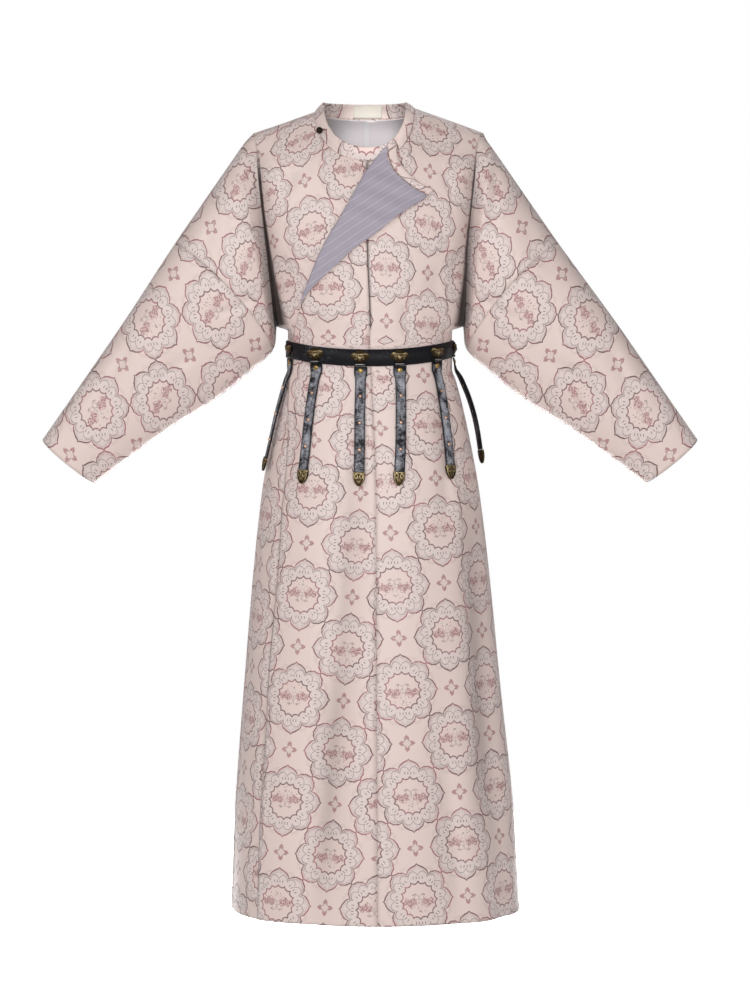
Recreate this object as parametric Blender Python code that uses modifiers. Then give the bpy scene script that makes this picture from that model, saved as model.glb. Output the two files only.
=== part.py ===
"""Round-collar robe, filled out as it is worn, with its leather belt.

Metres, +Z up. The wearer faces -Y and the wearer's left is +X. The origin is the middle of
the neck opening, level with the top of the collar.

The cloth is one surface. A point on it has two numbers. "around" is 0 at the centre front,
1 at the left side, -1 at the right side and 2 or -2 at the centre back. "level" is 0 along
the shoulder fold, 1 at the underarm and 2 at the hem.
"""

import math
from collections import namedtuple

import bmesh
import bpy
from mathutils import Matrix, Vector

# Cloth and leather
WALL = 0.0015
COLLAR_WALL = 0.0018
SEAM_GAP = 0.0004
UNDER_DROP = 0.0032
LINING_DROP = 0.0021
REST_GAP = 0.0004
TINY = 0.000001

# Heights
UNDERARM_Z = -0.363
HEM_DROP = 1.320
SHOULDER_START_X = 0.0745
SHOULDER_START_Z = -0.009
SHOULDER_SLOPE = 0.355
LEAN = 0.0055
LEAN_END_Z = -0.38
LEAN_RAMP = 0.18
LEAN_TOP_Z = -0.035
LEAN_TOP_RAMP = 0.03

# Neck opening: the edge of the body cloth, and the top edge of the collar
NECK_REACH_RIGHT = 0.0876
NECK_REACH_LEFT = 0.0711
NECK_FRONT_LEVEL = 0.492
NECK_BACK_LEVEL = 0.207
COLLAR_REACH_RIGHT = 0.0746
COLLAR_REACH_LEFT = 0.0581
COLLAR_FRONT_Z = -0.0755
COLLAR_BACK_Y = 0.046

# Where the under layer of the front comes out to the outer one, at the side and near the neck
UNDER_SIDE_AROUND = 0.985
UNDER_SIDE_REACH = 0.05
UNDER_TOP_LEVEL = 0.10
UNDER_TOP_REACH = 0.25

# Roundness of a body ring and of the neck: 2 is an ellipse
RING_POWER = 2.3
CREASE_POWER = 9

# Sleeve, as points (x, z) at its armhole and its cuff
SLEEVE_TOP_START = (0.187, -0.048)
SLEEVE_TOP_END = (0.5355, -0.5470)
SLEEVE_TOP_LENGTH = 0.610
SLEEVE_LOWER_LENGTH = 0.390
SEAM_ALONG_TOP = 0.358
SEAM_ALONG_LOWER = 0.06
CREASE_WIDTH = 0.030
CUFF_LEAN = (0.57, 0.82)
SLEEVE_ROUNDNESS = 0.85
SLEEVE_TOP_HEAVY = 0.2
CUFF_BULGE = 0.0035

TorsoRow = namedtuple("TorsoRow", "level side_x crease_x crease_depth front_depth back_depth")
TORSO_ROWS = (
    TorsoRow(0.00, 0.1870, 0.1870, 0.000, 0.000, 0.000),
    TorsoRow(0.11, 0.1810, 0.1830, 0.016, 0.018, 0.026),
    TorsoRow(0.21, 0.1775, 0.1805, 0.028, 0.034, 0.048),
    TorsoRow(0.33, 0.1730, 0.1775, 0.040, 0.053, 0.072),
    TorsoRow(0.48, 0.1680, 0.1745, 0.050, 0.080, 0.095),
    TorsoRow(0.62, 0.1610, 0.1700, 0.050, 0.096, 0.106),
    TorsoRow(0.78, 0.1510, 0.1625, 0.040, 0.106, 0.110),
    TorsoRow(0.90, 0.1425, 0.1575, 0.030, 0.106, 0.105),
    TorsoRow(0.95, 0.1395, 0.1552, 0.0235, 0.105, 0.103),
    TorsoRow(0.98, 0.1372, 0.1538, 0.0170, 0.1045, 0.1015),
    TorsoRow(1.00, 0.1350, 0.1525, 0.0000, 0.104, 0.100),
)

SkirtRow = namedtuple("SkirtRow", "drop half_width front_depth back_depth middle_x front_x")
SKIRT_ROWS = (
    SkirtRow(0.363, 0.1350, 0.1040, 0.1000, 0.0000, -0.0020),
    SkirtRow(0.376, 0.1340, 0.1025, 0.0990, 0.0000, -0.0010),
    SkirtRow(0.396, 0.1340, 0.1025, 0.0990, 0.0000, 0.0000),
    SkirtRow(0.432, 0.1340, 0.1025, 0.0990, 0.0000, 0.0020),
    SkirtRow(0.450, 0.1400, 0.1055, 0.1030, 0.0000, 0.0030),
    SkirtRow(0.500, 0.1530, 0.1150, 0.1130, 0.0000, 0.0050),
    SkirtRow(0.560, 0.1650, 0.1255, 0.1240, 0.0005, 0.0080),
    SkirtRow(0.633, 0.1780, 0.1340, 0.1340, 0.0010, 0.0100),
    SkirtRow(0.748, 0.1920, 0.1435, 0.1440, 0.0020, 0.0105),
    SkirtRow(0.977, 0.2130, 0.1580, 0.1590, 0.0035, 0.0110),
    SkirtRow(1.174, 0.2305, 0.1670, 0.1690, 0.0065, 0.0120),
    SkirtRow(1.320, 0.2385, 0.1715, 0.1740, 0.0085, 0.0125),
)

# Soft folds of the skirt: where each lies at the hem and at its top, how wide it is around,
# how deep, and the levels where it starts and is full
SkirtFold = namedtuple("SkirtFold", "at_hem at_top width depth start full")
SKIRT_FOLDS = (
    SkirtFold(-0.28, -0.12, 0.14, 0.0060, 1.05, 1.60),
    SkirtFold(0.30, 0.36, 0.12, 0.0050, 1.15, 1.70),
    SkirtFold(0.66, 0.62, 0.10, 0.0055, 1.25, 1.65),
    SkirtFold(1.28, 1.22, 0.13, 0.0060, 1.15, 1.70),
    SkirtFold(1.66, 1.60, 0.12, 0.0070, 1.10, 1.70),
    SkirtFold(-1.36, -1.30, 0.13, 0.0070, 1.15, 1.70),
    SkirtFold(-1.74, -1.68, 0.11, 0.0055, 1.20, 1.75),
)

SleeveRow = namedtuple("SleeveRow", "along lower_x lower_z depth")
SLEEVE_ROWS = (
    SleeveRow(0.00, 0.1525, -0.3630, 0.066),
    SleeveRow(0.05, 0.1550, -0.3920, 0.070),
    SleeveRow(0.20, 0.1950, -0.4350, 0.074),
    SleeveRow(0.40, 0.2550, -0.4830, 0.068),
    SleeveRow(0.60, 0.3200, -0.5230, 0.058),
    SleeveRow(0.80, 0.3850, -0.5690, 0.047),
    SleeveRow(1.00, 0.4510, -0.6180, 0.036),
)

# Edges seen from the front, as rows of (drop, x)
EdgeRow = namedtuple("EdgeRow", "drop x")
FOLD_EDGE = (
    EdgeRow(0.0739, 0.0258),
    EdgeRow(0.1157, -0.0063),
    EdgeRow(0.1478, -0.0247),
    EdgeRow(0.1832, -0.0448),
    EdgeRow(0.2330, -0.0737),
    EdgeRow(0.2877, -0.0970),
    EdgeRow(0.3240, -0.1101),
)
LAP_EDGE = (
    EdgeRow(0.324, -0.1101),
    EdgeRow(0.394, -0.1270),
    EdgeRow(0.503, -0.1340),
    EdgeRow(0.592, -0.1386),
    EdgeRow(0.655, -0.1440),
    EdgeRow(0.746, -0.1490),
    EdgeRow(0.829, -0.1570),
    EdgeRow(0.920, -0.1650),
    EdgeRow(1.015, -0.1684),
    EdgeRow(1.167, -0.1800),
    EdgeRow(1.320, -0.1828),
)

# The turned-down corner, from its top to its lower tip: its fold, the inner and outer edges
# of the collar that turns with it, and its free edge, each as (part, x, z)
CurveRow = namedtuple("CurveRow", "part x z")
FLAP_FOLD = (
    CurveRow(0.00, 0.0258, -0.0760),
    CurveRow(0.16, -0.0063, -0.1157),
    CurveRow(0.29, -0.0247, -0.1478),
    CurveRow(0.43, -0.0448, -0.1832),
    CurveRow(0.63, -0.0737, -0.2330),
    CurveRow(0.84, -0.0970, -0.2877),
    CurveRow(1.00, -0.1101, -0.3240),
)
FLAP_FREE = (
    CurveRow(0.00, 0.0275, -0.0770),
    CurveRow(0.06, 0.0299, -0.0948),
    CurveRow(0.12, 0.0371, -0.1109),
    CurveRow(0.18, 0.0499, -0.1254),
    CurveRow(0.26, 0.0725, -0.1422),
    CurveRow(0.34, 0.0920, -0.1530),
    CurveRow(0.42, 0.0783, -0.1639),
    CurveRow(0.54, 0.0468, -0.1848),
    CurveRow(0.66, 0.0075, -0.2153),
    CurveRow(0.75, -0.0207, -0.2346),
    CurveRow(0.85, -0.0561, -0.2668),
    CurveRow(0.94, -0.0898, -0.2989),
    CurveRow(1.00, -0.1085, -0.3235),
)
TURNED_INNER = (
    CurveRow(0.00, 0.0290, -0.0740),
    CurveRow(0.20, 0.0312, -0.0948),
    CurveRow(0.40, 0.0384, -0.1101),
    CurveRow(0.60, 0.0512, -0.1242),
    CurveRow(0.80, 0.0733, -0.1408),
    CurveRow(1.00, 0.0934, -0.1515),
)
TURNED_OUTER = (
    CurveRow(0.00, 0.0414, -0.0720),
    CurveRow(0.20, 0.0429, -0.0916),
    CurveRow(0.40, 0.0532, -0.1093),
    CurveRow(0.60, 0.0693, -0.1254),
    CurveRow(0.80, 0.0870, -0.1365),
    CurveRow(1.00, 0.1014, -0.1420),
)
FLAP_LIFT = 0.0017
FLAP_TOP_LIFT = 0.0040
FLAP_EDGE_INSET = 0.0022

# Mesh steps: each body row has a level at the neck or centre and one at the crease
RowPair = namedtuple("RowPair", "start end")
NECK_ANGLES = (0, 18, 36, 54, 66, 90)
FRONT_CREASE_LEVELS = (0.0, 0.13, 0.23, 0.32, 0.41, 0.49)
BACK_CREASE_LEVELS = (0.0, 0.10, 0.18, 0.26, 0.33, 0.40)
FRONT_LOWER_ROWS = (
    RowPair(0.55, 0.56), RowPair(0.62, 0.63), RowPair(0.70, 0.70), RowPair(0.78, 0.78),
    RowPair(0.86, 0.86), RowPair(0.92, 0.92), RowPair(0.96, 0.96), RowPair(0.985, 0.985),
    RowPair(1.0, 1.0),
)
BACK_LOWER_ROWS = (
    RowPair(0.31, 0.47), RowPair(0.42, 0.55), RowPair(0.54, 0.63), RowPair(0.66, 0.71),
    RowPair(0.77, 0.79), RowPair(0.86, 0.86), RowPair(0.92, 0.92), RowPair(0.96, 0.96),
    RowPair(0.985, 0.985), RowPair(1.0, 1.0),
)
SKIRT_DROPS = (0.363, 0.374, 0.396, 0.412, 0.432, 0.448, 0.470, 0.500, 0.540, 0.590, 0.650,
               0.730, 0.820, 0.920, 1.020, 1.120, 1.220, 1.320)
COLUMNS = 10
UPPER_SLEEVE_STEPS = (0.0, 0.07, 0.18, 0.40, 0.70, 0.96, 1.0)
SLEEVE_END_STEPS = (0.0, 0.012, 0.06, 0.14, 0.28, 0.46, 0.64, 0.82, 1.0)
LAP_COLUMNS = 9
INNER_LAP_REACH = 0.52
INNER_LAP_COLUMNS = 6

# Belt
BELT_HEIGHT = 0.027
BELT_THICKNESS = 0.003
BELT_TOP_DROP = 0.3855
BELT_DIP = 0.0130
BELT_GAP = 0.0006
CLASP_SIZE = (0.034, 0.003, 0.031)
STRAP_WIDTH = 0.0172
STRAP_TOP_WIDTH = 0.0215
STRAP_TOP_LENGTH = 0.013
STRAP_THICKNESS = 0.0024
STRAP_LIFT = 0.0012
TIP_WIDTH = 0.0200
TIP_LENGTH = 0.0225
TIP_THICKNESS = 0.0052
# Half width of the tip along its length, as shares of its length and of its half width
TipRow = namedtuple("TipRow", "along half")
TIP_OUTLINE = (
    TipRow(0.0, 0.98),
    TipRow(0.10, 1.0),
    TipRow(0.45, 0.94),
    TipRow(0.70, 0.74),
    TipRow(0.88, 0.46),
    TipRow(0.97, 0.18),
)
TIP_SHOULDER = 0.62
RIVET_PITCH = 0.0425
RIVET_FIRST = 0.007
RIVET_SECOND = 0.0480
LARGE_RIVET = (0.0042, 0.0014)
SMALL_RIVET = (0.0030, 0.0022)

# Hanging straps: where each hangs from the belt and where its tip ends (around, drop), how far
# its end and its middle stand off the skirt, and how far it turns to the front, in radians
StrapRow = namedtuple("StrapRow", "name top_around end_around end_drop end_lift bow twist")
STRAP_ROWS = (
    StrapRow("1", -0.800, -0.930, 0.5990, 0.0040, 0.0, 0.0),
    StrapRow("2", -0.413, -0.430, 0.6140, 0.0016, 0.0, 0.0),
    StrapRow("3", -0.057, -0.077, 0.6166, 0.0016, 0.0, 0.0),
    StrapRow("4", 0.190, 0.103, 0.6156, 0.0016, 0.0, 0.0),
    StrapRow("5", 0.550, 0.462, 0.6070, 0.0018, 0.0, 0.0),
    StrapRow("6", 0.940, 0.900, 0.5880, 0.0110, 0.0100, 0.45),
)
STRAP_TWIST_PART = 0.25
MOUNT_WIDTH = 0.0280
MOUNT_HEIGHT = 0.0200
MOUNT_DEPTH = 0.0065
MOUNT_TALLEST = 1.55
MOUNT_EDGE = 0.19
MOUNT_SEGMENTS = 20
MOUNT_RINGS = 4

# Small sewn things
BUTTON_RADIUS = 0.0055
BUTTON_AT = (-0.0805, -0.0500)
BUTTON_LIFT = 0.0012
LABEL_WIDTH = 0.0467
LABEL_MIDDLE_X = -0.0038
LABEL_TOP_PART = 0.93
LABEL_LOW_PART = 0.08
LABEL_THICKNESS = 0.0008

FRONT = -1
BACK = 1
RIGHT = -1
LEFT = 1


def clear_scene():
    for item in list(bpy.data.objects):
        bpy.data.objects.remove(item, do_unlink=True)


def ease(value):
    """0 below 0, 1 above 1, and a soft ramp between."""
    value = min(max(value, 0.0), 1.0)
    return value * value * (3.0 - 2.0 * value)


def mix(first, second, part):
    return first + (second - first) * part


def slope_at(rows, index, column):
    """Slope of a table's column at a row, flat where the column turns back."""
    if index == 0 or index == len(rows) - 1:
        near = min(max(index, 1), len(rows) - 1)
        return (rows[near][column] - rows[near - 1][column]) / (rows[near][0] - rows[near - 1][0])
    before = (rows[index][column] - rows[index - 1][column]) / (rows[index][0] - rows[index - 1][0])
    after = (rows[index + 1][column] - rows[index][column]) / (rows[index + 1][0] - rows[index][0])
    if before * after <= 0.0:
        return 0.0
    return 2.0 * before * after / (before + after)


def read(rows, key):
    """A table's row at any key, on a smooth curve through its rows."""
    key = min(max(key, rows[0][0]), rows[-1][0])
    index = 1
    while rows[index][0] < key:
        index += 1
    span = rows[index][0] - rows[index - 1][0]
    part = (key - rows[index - 1][0]) / span
    square = part * part
    cube = square * part
    values = [key]
    for column in range(1, len(rows[0])):
        low = rows[index - 1][column]
        high = rows[index][column]
        leave = slope_at(rows, index - 1, column) * span
        arrive = slope_at(rows, index, column) * span
        values.append(low * (2 * cube - 3 * square + 1) + leave * (cube - 2 * square + part)
                      + high * (3 * square - 2 * cube) + arrive * (cube - square))
    return type(rows[0])(*values)


def power_arc(angle, power):
    """Across and out of a rounded arc at an angle from its middle."""
    across = max(math.sin(angle), 0.0) ** (2.0 / power)
    out = max(math.cos(angle), 0.0) ** (2.0 / power)
    return across, out


def lean(z):
    """The upper body hangs a little to the wearer's right."""
    return -LEAN * ease((z - LEAN_END_Z) / LEAN_RAMP) * ease((LEAN_TOP_Z - z) / LEAN_TOP_RAMP)


def ridge_z(x):
    """Height of the shoulder fold."""
    return SHOULDER_START_Z - SHOULDER_SLOPE * max(abs(x) - SHOULDER_START_X, 0.0)


def level_of_drop(drop):
    """Level on the skirt of a drop below the collar."""
    return 1.0 + (drop + UNDERARM_Z) / (HEM_DROP + UNDERARM_Z)


def drop_of_level(level):
    return -UNDERARM_Z + (level - 1.0) * (HEM_DROP + UNDERARM_Z)


def fold_depth(around, level):
    """How far the skirt's folds draw the cloth in."""
    total = 0.0
    for fold in SKIRT_FOLDS:
        middle = mix(fold.at_top, fold.at_hem, ease((level - 1.0) * 1.1))
        away = abs(around - middle)
        away = min(away, 4.0 - away) / fold.width
        strength = ease((level - fold.start) / (fold.full - fold.start))
        total += fold.depth * strength * math.exp(-away * away)
    return total


def body_point(around, level):
    """Point of the outer face of the body."""
    side = RIGHT if around < 0.0 else LEFT
    face = FRONT if abs(around) <= 1.0 else BACK
    turn = abs(around) if face == FRONT else 2.0 - abs(around)
    across, out = power_arc(turn * math.pi / 2.0, RING_POWER)
    if level <= 1.0:
        row = read(TORSO_ROWS, level)
        depth = row.front_depth if face == FRONT else row.back_depth
        x = row.side_x * across + (row.crease_x - row.side_x) * across ** CREASE_POWER
        y = face * (row.crease_depth + (depth - row.crease_depth) * out)
        z = mix(ridge_z(x), UNDERARM_Z, level * level)
        return Vector((side * x + lean(z), y, z))
    drop = drop_of_level(level)
    row = read(SKIRT_ROWS, drop)
    depth = row.front_depth if face == FRONT else row.back_depth
    draw = 1.0 - fold_depth(around, level) / depth
    x = row.middle_x + side * row.half_width * across * draw
    if face == FRONT:
        x += (row.front_x - row.middle_x) * out * ease((drop + UNDERARM_Z) / 0.05)
    return Vector((x, face * depth * out * draw, -drop))


def body_normal(around, level):
    """Outward direction of the body's surface."""
    step = 0.01
    low = max(level - step, 0.02)
    high = min(level + step, 2.0)
    if level <= 1.0:
        high = min(high, 1.0)
    if abs(around) < 1.0:
        first = max(around - step, -1.0)
        last = min(around + step, 1.0)
    elif abs(around) > 1.0:
        sign = math.copysign(1.0, around)
        ends = sorted((sign * max(abs(around) - step, 1.0), sign * min(abs(around) + step, 2.0)))
        first, last = ends
    else:
        first = around - step
        last = around + step
    sideways = body_point(last, level) - body_point(first, level)
    down = body_point(around, high) - body_point(around, low)
    return down.cross(sideways).normalized()


def lifted(around, level, lift):
    return body_point(around, level) + body_normal(around, level) * lift


def around_of_x(x, level):
    """Where a front ring passes x."""
    side = RIGHT if x < body_point(0.0, level).x else LEFT
    near = 0.0
    far = 1.0
    for _ in range(40):
        middle = (near + far) / 2.0
        if side * (body_point(side * middle, level).x - x) < 0.0:
            near = middle
        else:
            far = middle
    return side * (near + far) / 2.0


def level_of_z(x, z):
    """Level of the front at a place seen from the front."""
    if z < UNDERARM_Z:
        return level_of_drop(-z)
    top = ridge_z(x)
    return math.sqrt(max((z - top) / (UNDERARM_Z - top), 0.0))


def front_place(x, z, lift):
    """Point over the front at a place seen from the front."""
    level = level_of_z(x, z)
    return lifted(around_of_x(x, level), level, lift)


def neck_edge(side, face, angle):
    """Around and level of the body cloth's neck edge at an angle from the shoulder."""
    across, out = power_arc(math.radians(angle), RING_POWER)
    reach = NECK_FRONT_LEVEL if face == FRONT else NECK_BACK_LEVEL
    level = reach * math.sqrt(across)
    neck_reach = NECK_REACH_LEFT if side == LEFT else NECK_REACH_RIGHT
    around = abs(around_of_x(side * neck_reach * out, level)) if out > 0.01 else 0.0
    return side * (around if face == FRONT else 2.0 - around), level


def under_drop(around, level):
    """How far the under layer of the front lies inside the outer one."""
    edge = ease((UNDER_SIDE_AROUND - abs(around)) / UNDER_SIDE_REACH)
    top = ease((level - UNDER_TOP_LEVEL) / UNDER_TOP_REACH)
    return UNDER_DROP * edge * top


def sleeve_point(side, face, along, level):
    """Point of the outer face of a sleeve: along is 0 at the armhole and 1 at the cuff."""
    part = level * level
    row = read(SLEEVE_ROWS, along)
    start = read(SLEEVE_ROWS, 0.0)
    crease = read(TORSO_ROWS, level)
    crease_z = mix(ridge_z(crease.crease_x), UNDERARM_Z, part)
    top_x = mix(SLEEVE_TOP_START[0], SLEEVE_TOP_END[0], along)
    top_z = mix(SLEEVE_TOP_START[1], SLEEVE_TOP_END[1], along)
    x = mix(top_x, row.lower_x, part)
    z = mix(top_z, row.lower_z, part)
    start_x = mix(SLEEVE_TOP_START[0], start.lower_x, part)
    start_z = mix(SLEEVE_TOP_START[1], start.lower_z, part)
    away = along * mix(SLEEVE_TOP_LENGTH, SLEEVE_LOWER_LENGTH, part)
    open_out = ease(away / CREASE_WIDTH)
    x += (crease.crease_x - start_x) * (1.0 - open_out)
    z += (crease_z - start_z) * (1.0 - open_out)
    swing = 2.0 * level * math.sqrt(max(1.0 - part, 0.0))
    profile = swing ** SLEEVE_ROUNDNESS * (1.0 + SLEEVE_TOP_HEAVY * (1.0 - 2.0 * part))
    depth = mix(crease.crease_depth, row.depth * profile, open_out)
    bulge = CUFF_BULGE * swing * ease((along - 0.8) / 0.2)
    z -= bulge * CUFF_LEAN[1]
    return Vector((side * (x + bulge * CUFF_LEAN[0]) + lean(z), face * depth, z))


def seam_along(level, shift):
    """Along of the sleeve's joining seam, moved by a shift in metres."""
    part = level * level
    length = mix(SLEEVE_TOP_LENGTH, SLEEVE_LOWER_LENGTH, part)
    return mix(SEAM_ALONG_TOP, SEAM_ALONG_LOWER, part) + shift / length


def material(name, colour, roughness, metallic=0.0):
    """A plain finish, made once."""
    made = bpy.data.materials.get(name)
    if made is None:
        made = bpy.data.materials.new(name)
        made.use_nodes = True
        shader = made.node_tree.nodes["Principled BSDF"]
        shader.inputs["Base Color"].default_value = (*colour, 1.0)
        shader.inputs["Roughness"].default_value = roughness
        shader.inputs["Metallic"].default_value = metallic
    return made


def brocade():
    return material("brocade", (0.78, 0.66, 0.60), 0.5)


def striped_lining():
    return material("striped_lining", (0.38, 0.34, 0.45), 0.6)


def pale_lining():
    return material("pale_lining", (0.72, 0.68, 0.72), 0.6)


def black_leather():
    return material("black_leather", (0.02, 0.02, 0.025), 0.4)


def bronze():
    return material("bronze", (0.30, 0.22, 0.10), 0.4, 1.0)


def copper():
    return material("copper", (0.55, 0.38, 0.24), 0.3, 1.0)


def add_object(name, mesh, finish):
    for face in mesh.polygons:
        face.use_smooth = True
    mesh.set_sharp_from_angle(angle=math.radians(40))
    mesh.materials.append(finish)
    made = bpy.data.objects.new(name, mesh)
    bpy.data.collections["round_collar_robe"].objects.link(made)
    return made


def grids_to_mesh(name, grids):
    """One open sheet from grids of rows of points, welded where they meet.

    Each grid is (rows, flipped). Unflipped, a face looks along down cross sideways.
    """
    shape = bmesh.new()
    for rows, flipped in grids:
        made = [[shape.verts.new(point) for point in row] for row in rows]
        for upper, lower in zip(made, made[1:]):
            for left in range(len(upper) - 1):
                corners = [upper[left], lower[left], lower[left + 1], upper[left + 1]]
                if flipped:
                    corners.reverse()
                shape.faces.new(corners)
    bmesh.ops.remove_doubles(shape, verts=shape.verts, dist=0.00002)
    mesh = bpy.data.meshes.new(name)
    shape.to_mesh(mesh)
    shape.free()
    return mesh


def add_sheet(name, grids, finish, thickness=WALL, outward=False):
    """A sheet of even thickness, grown inward from its outer face."""
    made = add_object(name, grids_to_mesh(name, grids), finish)
    wall = made.modifiers.new("wall", "SOLIDIFY")
    wall.thickness = thickness
    wall.offset = 1.0 if outward else -1.0
    return made


def outer_start_x(drop):
    """Right-hand end of the fold edge at a drop, for the outer layer of the left front."""
    return read(FOLD_EDGE, drop).x + 0.003


def body_rows(side, face):
    """Rows of (around, level) of one upper quarter, from the shoulder fold down."""
    rows = []
    crease_levels = FRONT_CREASE_LEVELS if face == FRONT else BACK_CREASE_LEVELS
    for angle, crease_level in zip(NECK_ANGLES, crease_levels):
        around, level = neck_edge(side, face, angle)
        if side == LEFT and face == FRONT:
            place = body_point(around, level)
            if -place.z > FOLD_EDGE[0].drop:
                start_x = max(place.x, outer_start_x(-place.z))
                around = max(around_of_x(start_x, level), 0.0)
        rows.append(row_between(around, side, face, level, crease_level))
    for pair in FRONT_LOWER_ROWS if face == FRONT else BACK_LOWER_ROWS:
        around = 0.0 if face == FRONT else side * 2.0
        rows.append(row_between(around, side, face, pair.start, pair.end))
    return rows


def row_between(around, side, face, level, crease_level):
    """Places from a start round to the crease, with levels that change on the way."""
    start = abs(around) if face == FRONT else 2.0 - abs(around)
    places = []
    for column in range(COLUMNS + 1):
        part = column / COLUMNS
        turn = mix(start, 1.0, part)
        at = side * (turn if face == FRONT else max(2.0 - turn, 1.0 + TINY))
        places.append((at, mix(level, crease_level, ease(part))))
    return places


def skirt_rows(side, face):
    rows = []
    for drop in SKIRT_DROPS:
        level = max(level_of_drop(drop), 1.0)
        rows.append(row_between(0.0 if face == FRONT else side * 2.0, side, face, level, level))
    return rows


def seam_shifted(point, around, side):
    """A centre seam's point, moved half a seam gap to its own side."""
    if abs(around) < TINY or abs(around) > 2.0 - TINY:
        return point + Vector((side * SEAM_GAP / 2.0, 0.0, 0.0))
    return point


def quarter_points(rows, side, under):
    """Points of a quarter's rows, dropped inward where it is the under layer."""
    points = []
    for row in rows:
        line = []
        for around, level in row:
            drop = under_drop(around, level) if under else 0.0
            point = body_point(around, level) if drop == 0.0 else lifted(around, level, -drop)
            line.append(seam_shifted(point, around, side))
        points.append(line)
    return points


def sleeve_grid(side, face, steps, levels, first_shift, upper):
    """Rows of a stretch of sleeve, from its top fold down."""
    rows = []
    for level in levels:
        seam = seam_along(level, first_shift)
        row = []
        for step in steps:
            along = seam * step if upper else mix(seam, 1.0, step)
            row.append(sleeve_point(side, face, along, level))
        rows.append(row)
    return rows


def crease_row_levels(face):
    """Levels of the rows that meet at the crease, from the shoulder fold down."""
    neck = FRONT_CREASE_LEVELS if face == FRONT else BACK_CREASE_LEVELS
    lower = FRONT_LOWER_ROWS if face == FRONT else BACK_LOWER_ROWS
    return list(neck) + [pair.end for pair in lower]


def is_flipped(side, face):
    return side * face > 0


def make_body_half(name, side):
    """Front and back of one side, in one over the shoulder, with the upper sleeve."""
    grids = []
    for face in (FRONT, BACK):
        under = side == RIGHT and face == FRONT
        flipped = is_flipped(side, face)
        grids.append((quarter_points(body_rows(side, face), side, under), flipped))
        grids.append((quarter_points(skirt_rows(side, face), side, under), flipped))
        sleeve = sleeve_grid(side, face, UPPER_SLEEVE_STEPS, crease_row_levels(face),
                             -SEAM_GAP / 2.0, True)
        grids.append((sleeve, flipped))
    add_sheet(name, grids, brocade())


def make_sleeve_end(name, side):
    grids = []
    for face in (FRONT, BACK):
        rows = sleeve_grid(side, face, SLEEVE_END_STEPS, crease_row_levels(face),
                           SEAM_GAP / 2.0, False)
        grids.append((rows, is_flipped(side, face)))
    add_sheet(name, grids, brocade())


def lap_levels():
    upper = [pair.start for pair in FRONT_LOWER_ROWS]
    return upper + [level_of_drop(drop) for drop in SKIRT_DROPS[1:]]


def make_front_lap():
    """The outer overlap, from the centre front to its edge at the wearer's right."""
    rows = []
    for level in lap_levels():
        middle = body_point(0.0, level)
        drop = -body_point(-0.5, level).z if level < 1.0 else -middle.z
        edge = read(FOLD_EDGE, drop).x + 0.002 if drop < FOLD_EDGE[-1].drop else read(LAP_EDGE, drop).x
        edge = min(edge, -0.004)
        reach = around_of_x(edge, level)
        row = []
        for column in range(LAP_COLUMNS + 1):
            around = reach * column / LAP_COLUMNS
            point = body_point(around, level)
            if column == 0:
                point = point - Vector((SEAM_GAP / 2.0, 0.0, 0.0))
            row.append(point)
        rows.append(row)
    add_sheet("front_lap", [(rows, True)], brocade())


def make_inner_lap():
    """The under overlap, behind the wearer's left front."""
    points = []
    for angle in NECK_ANGLES[3:]:
        around, level = neck_edge(LEFT, FRONT, angle)
        points.append(inner_lap_row(around, level))
    for level in lap_levels():
        points.append(inner_lap_row(0.0, level))
    add_sheet("inner_lap", [(points, False)], brocade())


def inner_lap_row(start, level):
    row = []
    for column in range(INNER_LAP_COLUMNS + 1):
        around = mix(start, INNER_LAP_REACH, column / INNER_LAP_COLUMNS)
        point = lifted(around, level, -under_drop(around, level))
        row.append(seam_shifted(point, around, LEFT))
    return row


def collar_line(side, face, angle, under):
    """Lower and upper points of the collar at an angle from the shoulder."""
    around, level = neck_edge(side, face, angle)
    drop = under_drop(around, level) if under else 0.0
    low = lifted(around, level, -drop) if drop > 0.0 else body_point(around, level)
    across, out = power_arc(math.radians(angle), RING_POWER)
    high_x = out * (COLLAR_REACH_LEFT if side == LEFT else COLLAR_REACH_RIGHT)
    if face == BACK:
        high = Vector((side * high_x, COLLAR_BACK_Y * across, 0.0))
    else:
        high_z = COLLAR_FRONT_Z * across
        high_level = level_of_z(high_x, min(high_z, SHOULDER_START_Z))
        high_y = body_point(side * abs(around_of_x(high_x, high_level)), high_level).y
        high = Vector((side * high_x, high_y + drop, high_z))
    rise = (high - low).normalized()
    inward = Vector((-low.x, -low.y, 0.0)).normalized() if angle < 60 or face == BACK else Vector()
    return low + rise * SEAM_GAP + inward * SEAM_GAP, high


def collar_lines():
    """Collar lines from the fold at the left front, round the back, to the under end."""
    lines = [collar_line(LEFT, FRONT, angle, False) for angle in reversed(NECK_ANGLES[:5])]
    lines += [collar_line(LEFT, BACK, angle, False) for angle in NECK_ANGLES[1:]]
    lines += [collar_line(RIGHT, BACK, angle, False) for angle in reversed(NECK_ANGLES[:5])]
    lines += [collar_line(RIGHT, FRONT, angle, True) for angle in NECK_ANGLES[1:]]
    lines += [collar_line(LEFT, FRONT, angle, True) for angle in reversed(NECK_ANGLES[3:5])]
    return lines


def make_collar_band():
    parts = (1.0, 0.55, 0.0)
    rows = [[low.lerp(high, part) for low, high in collar_lines()] for part in parts]
    add_sheet("collar_band", [(rows, True)], brocade(), COLLAR_WALL)


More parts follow.
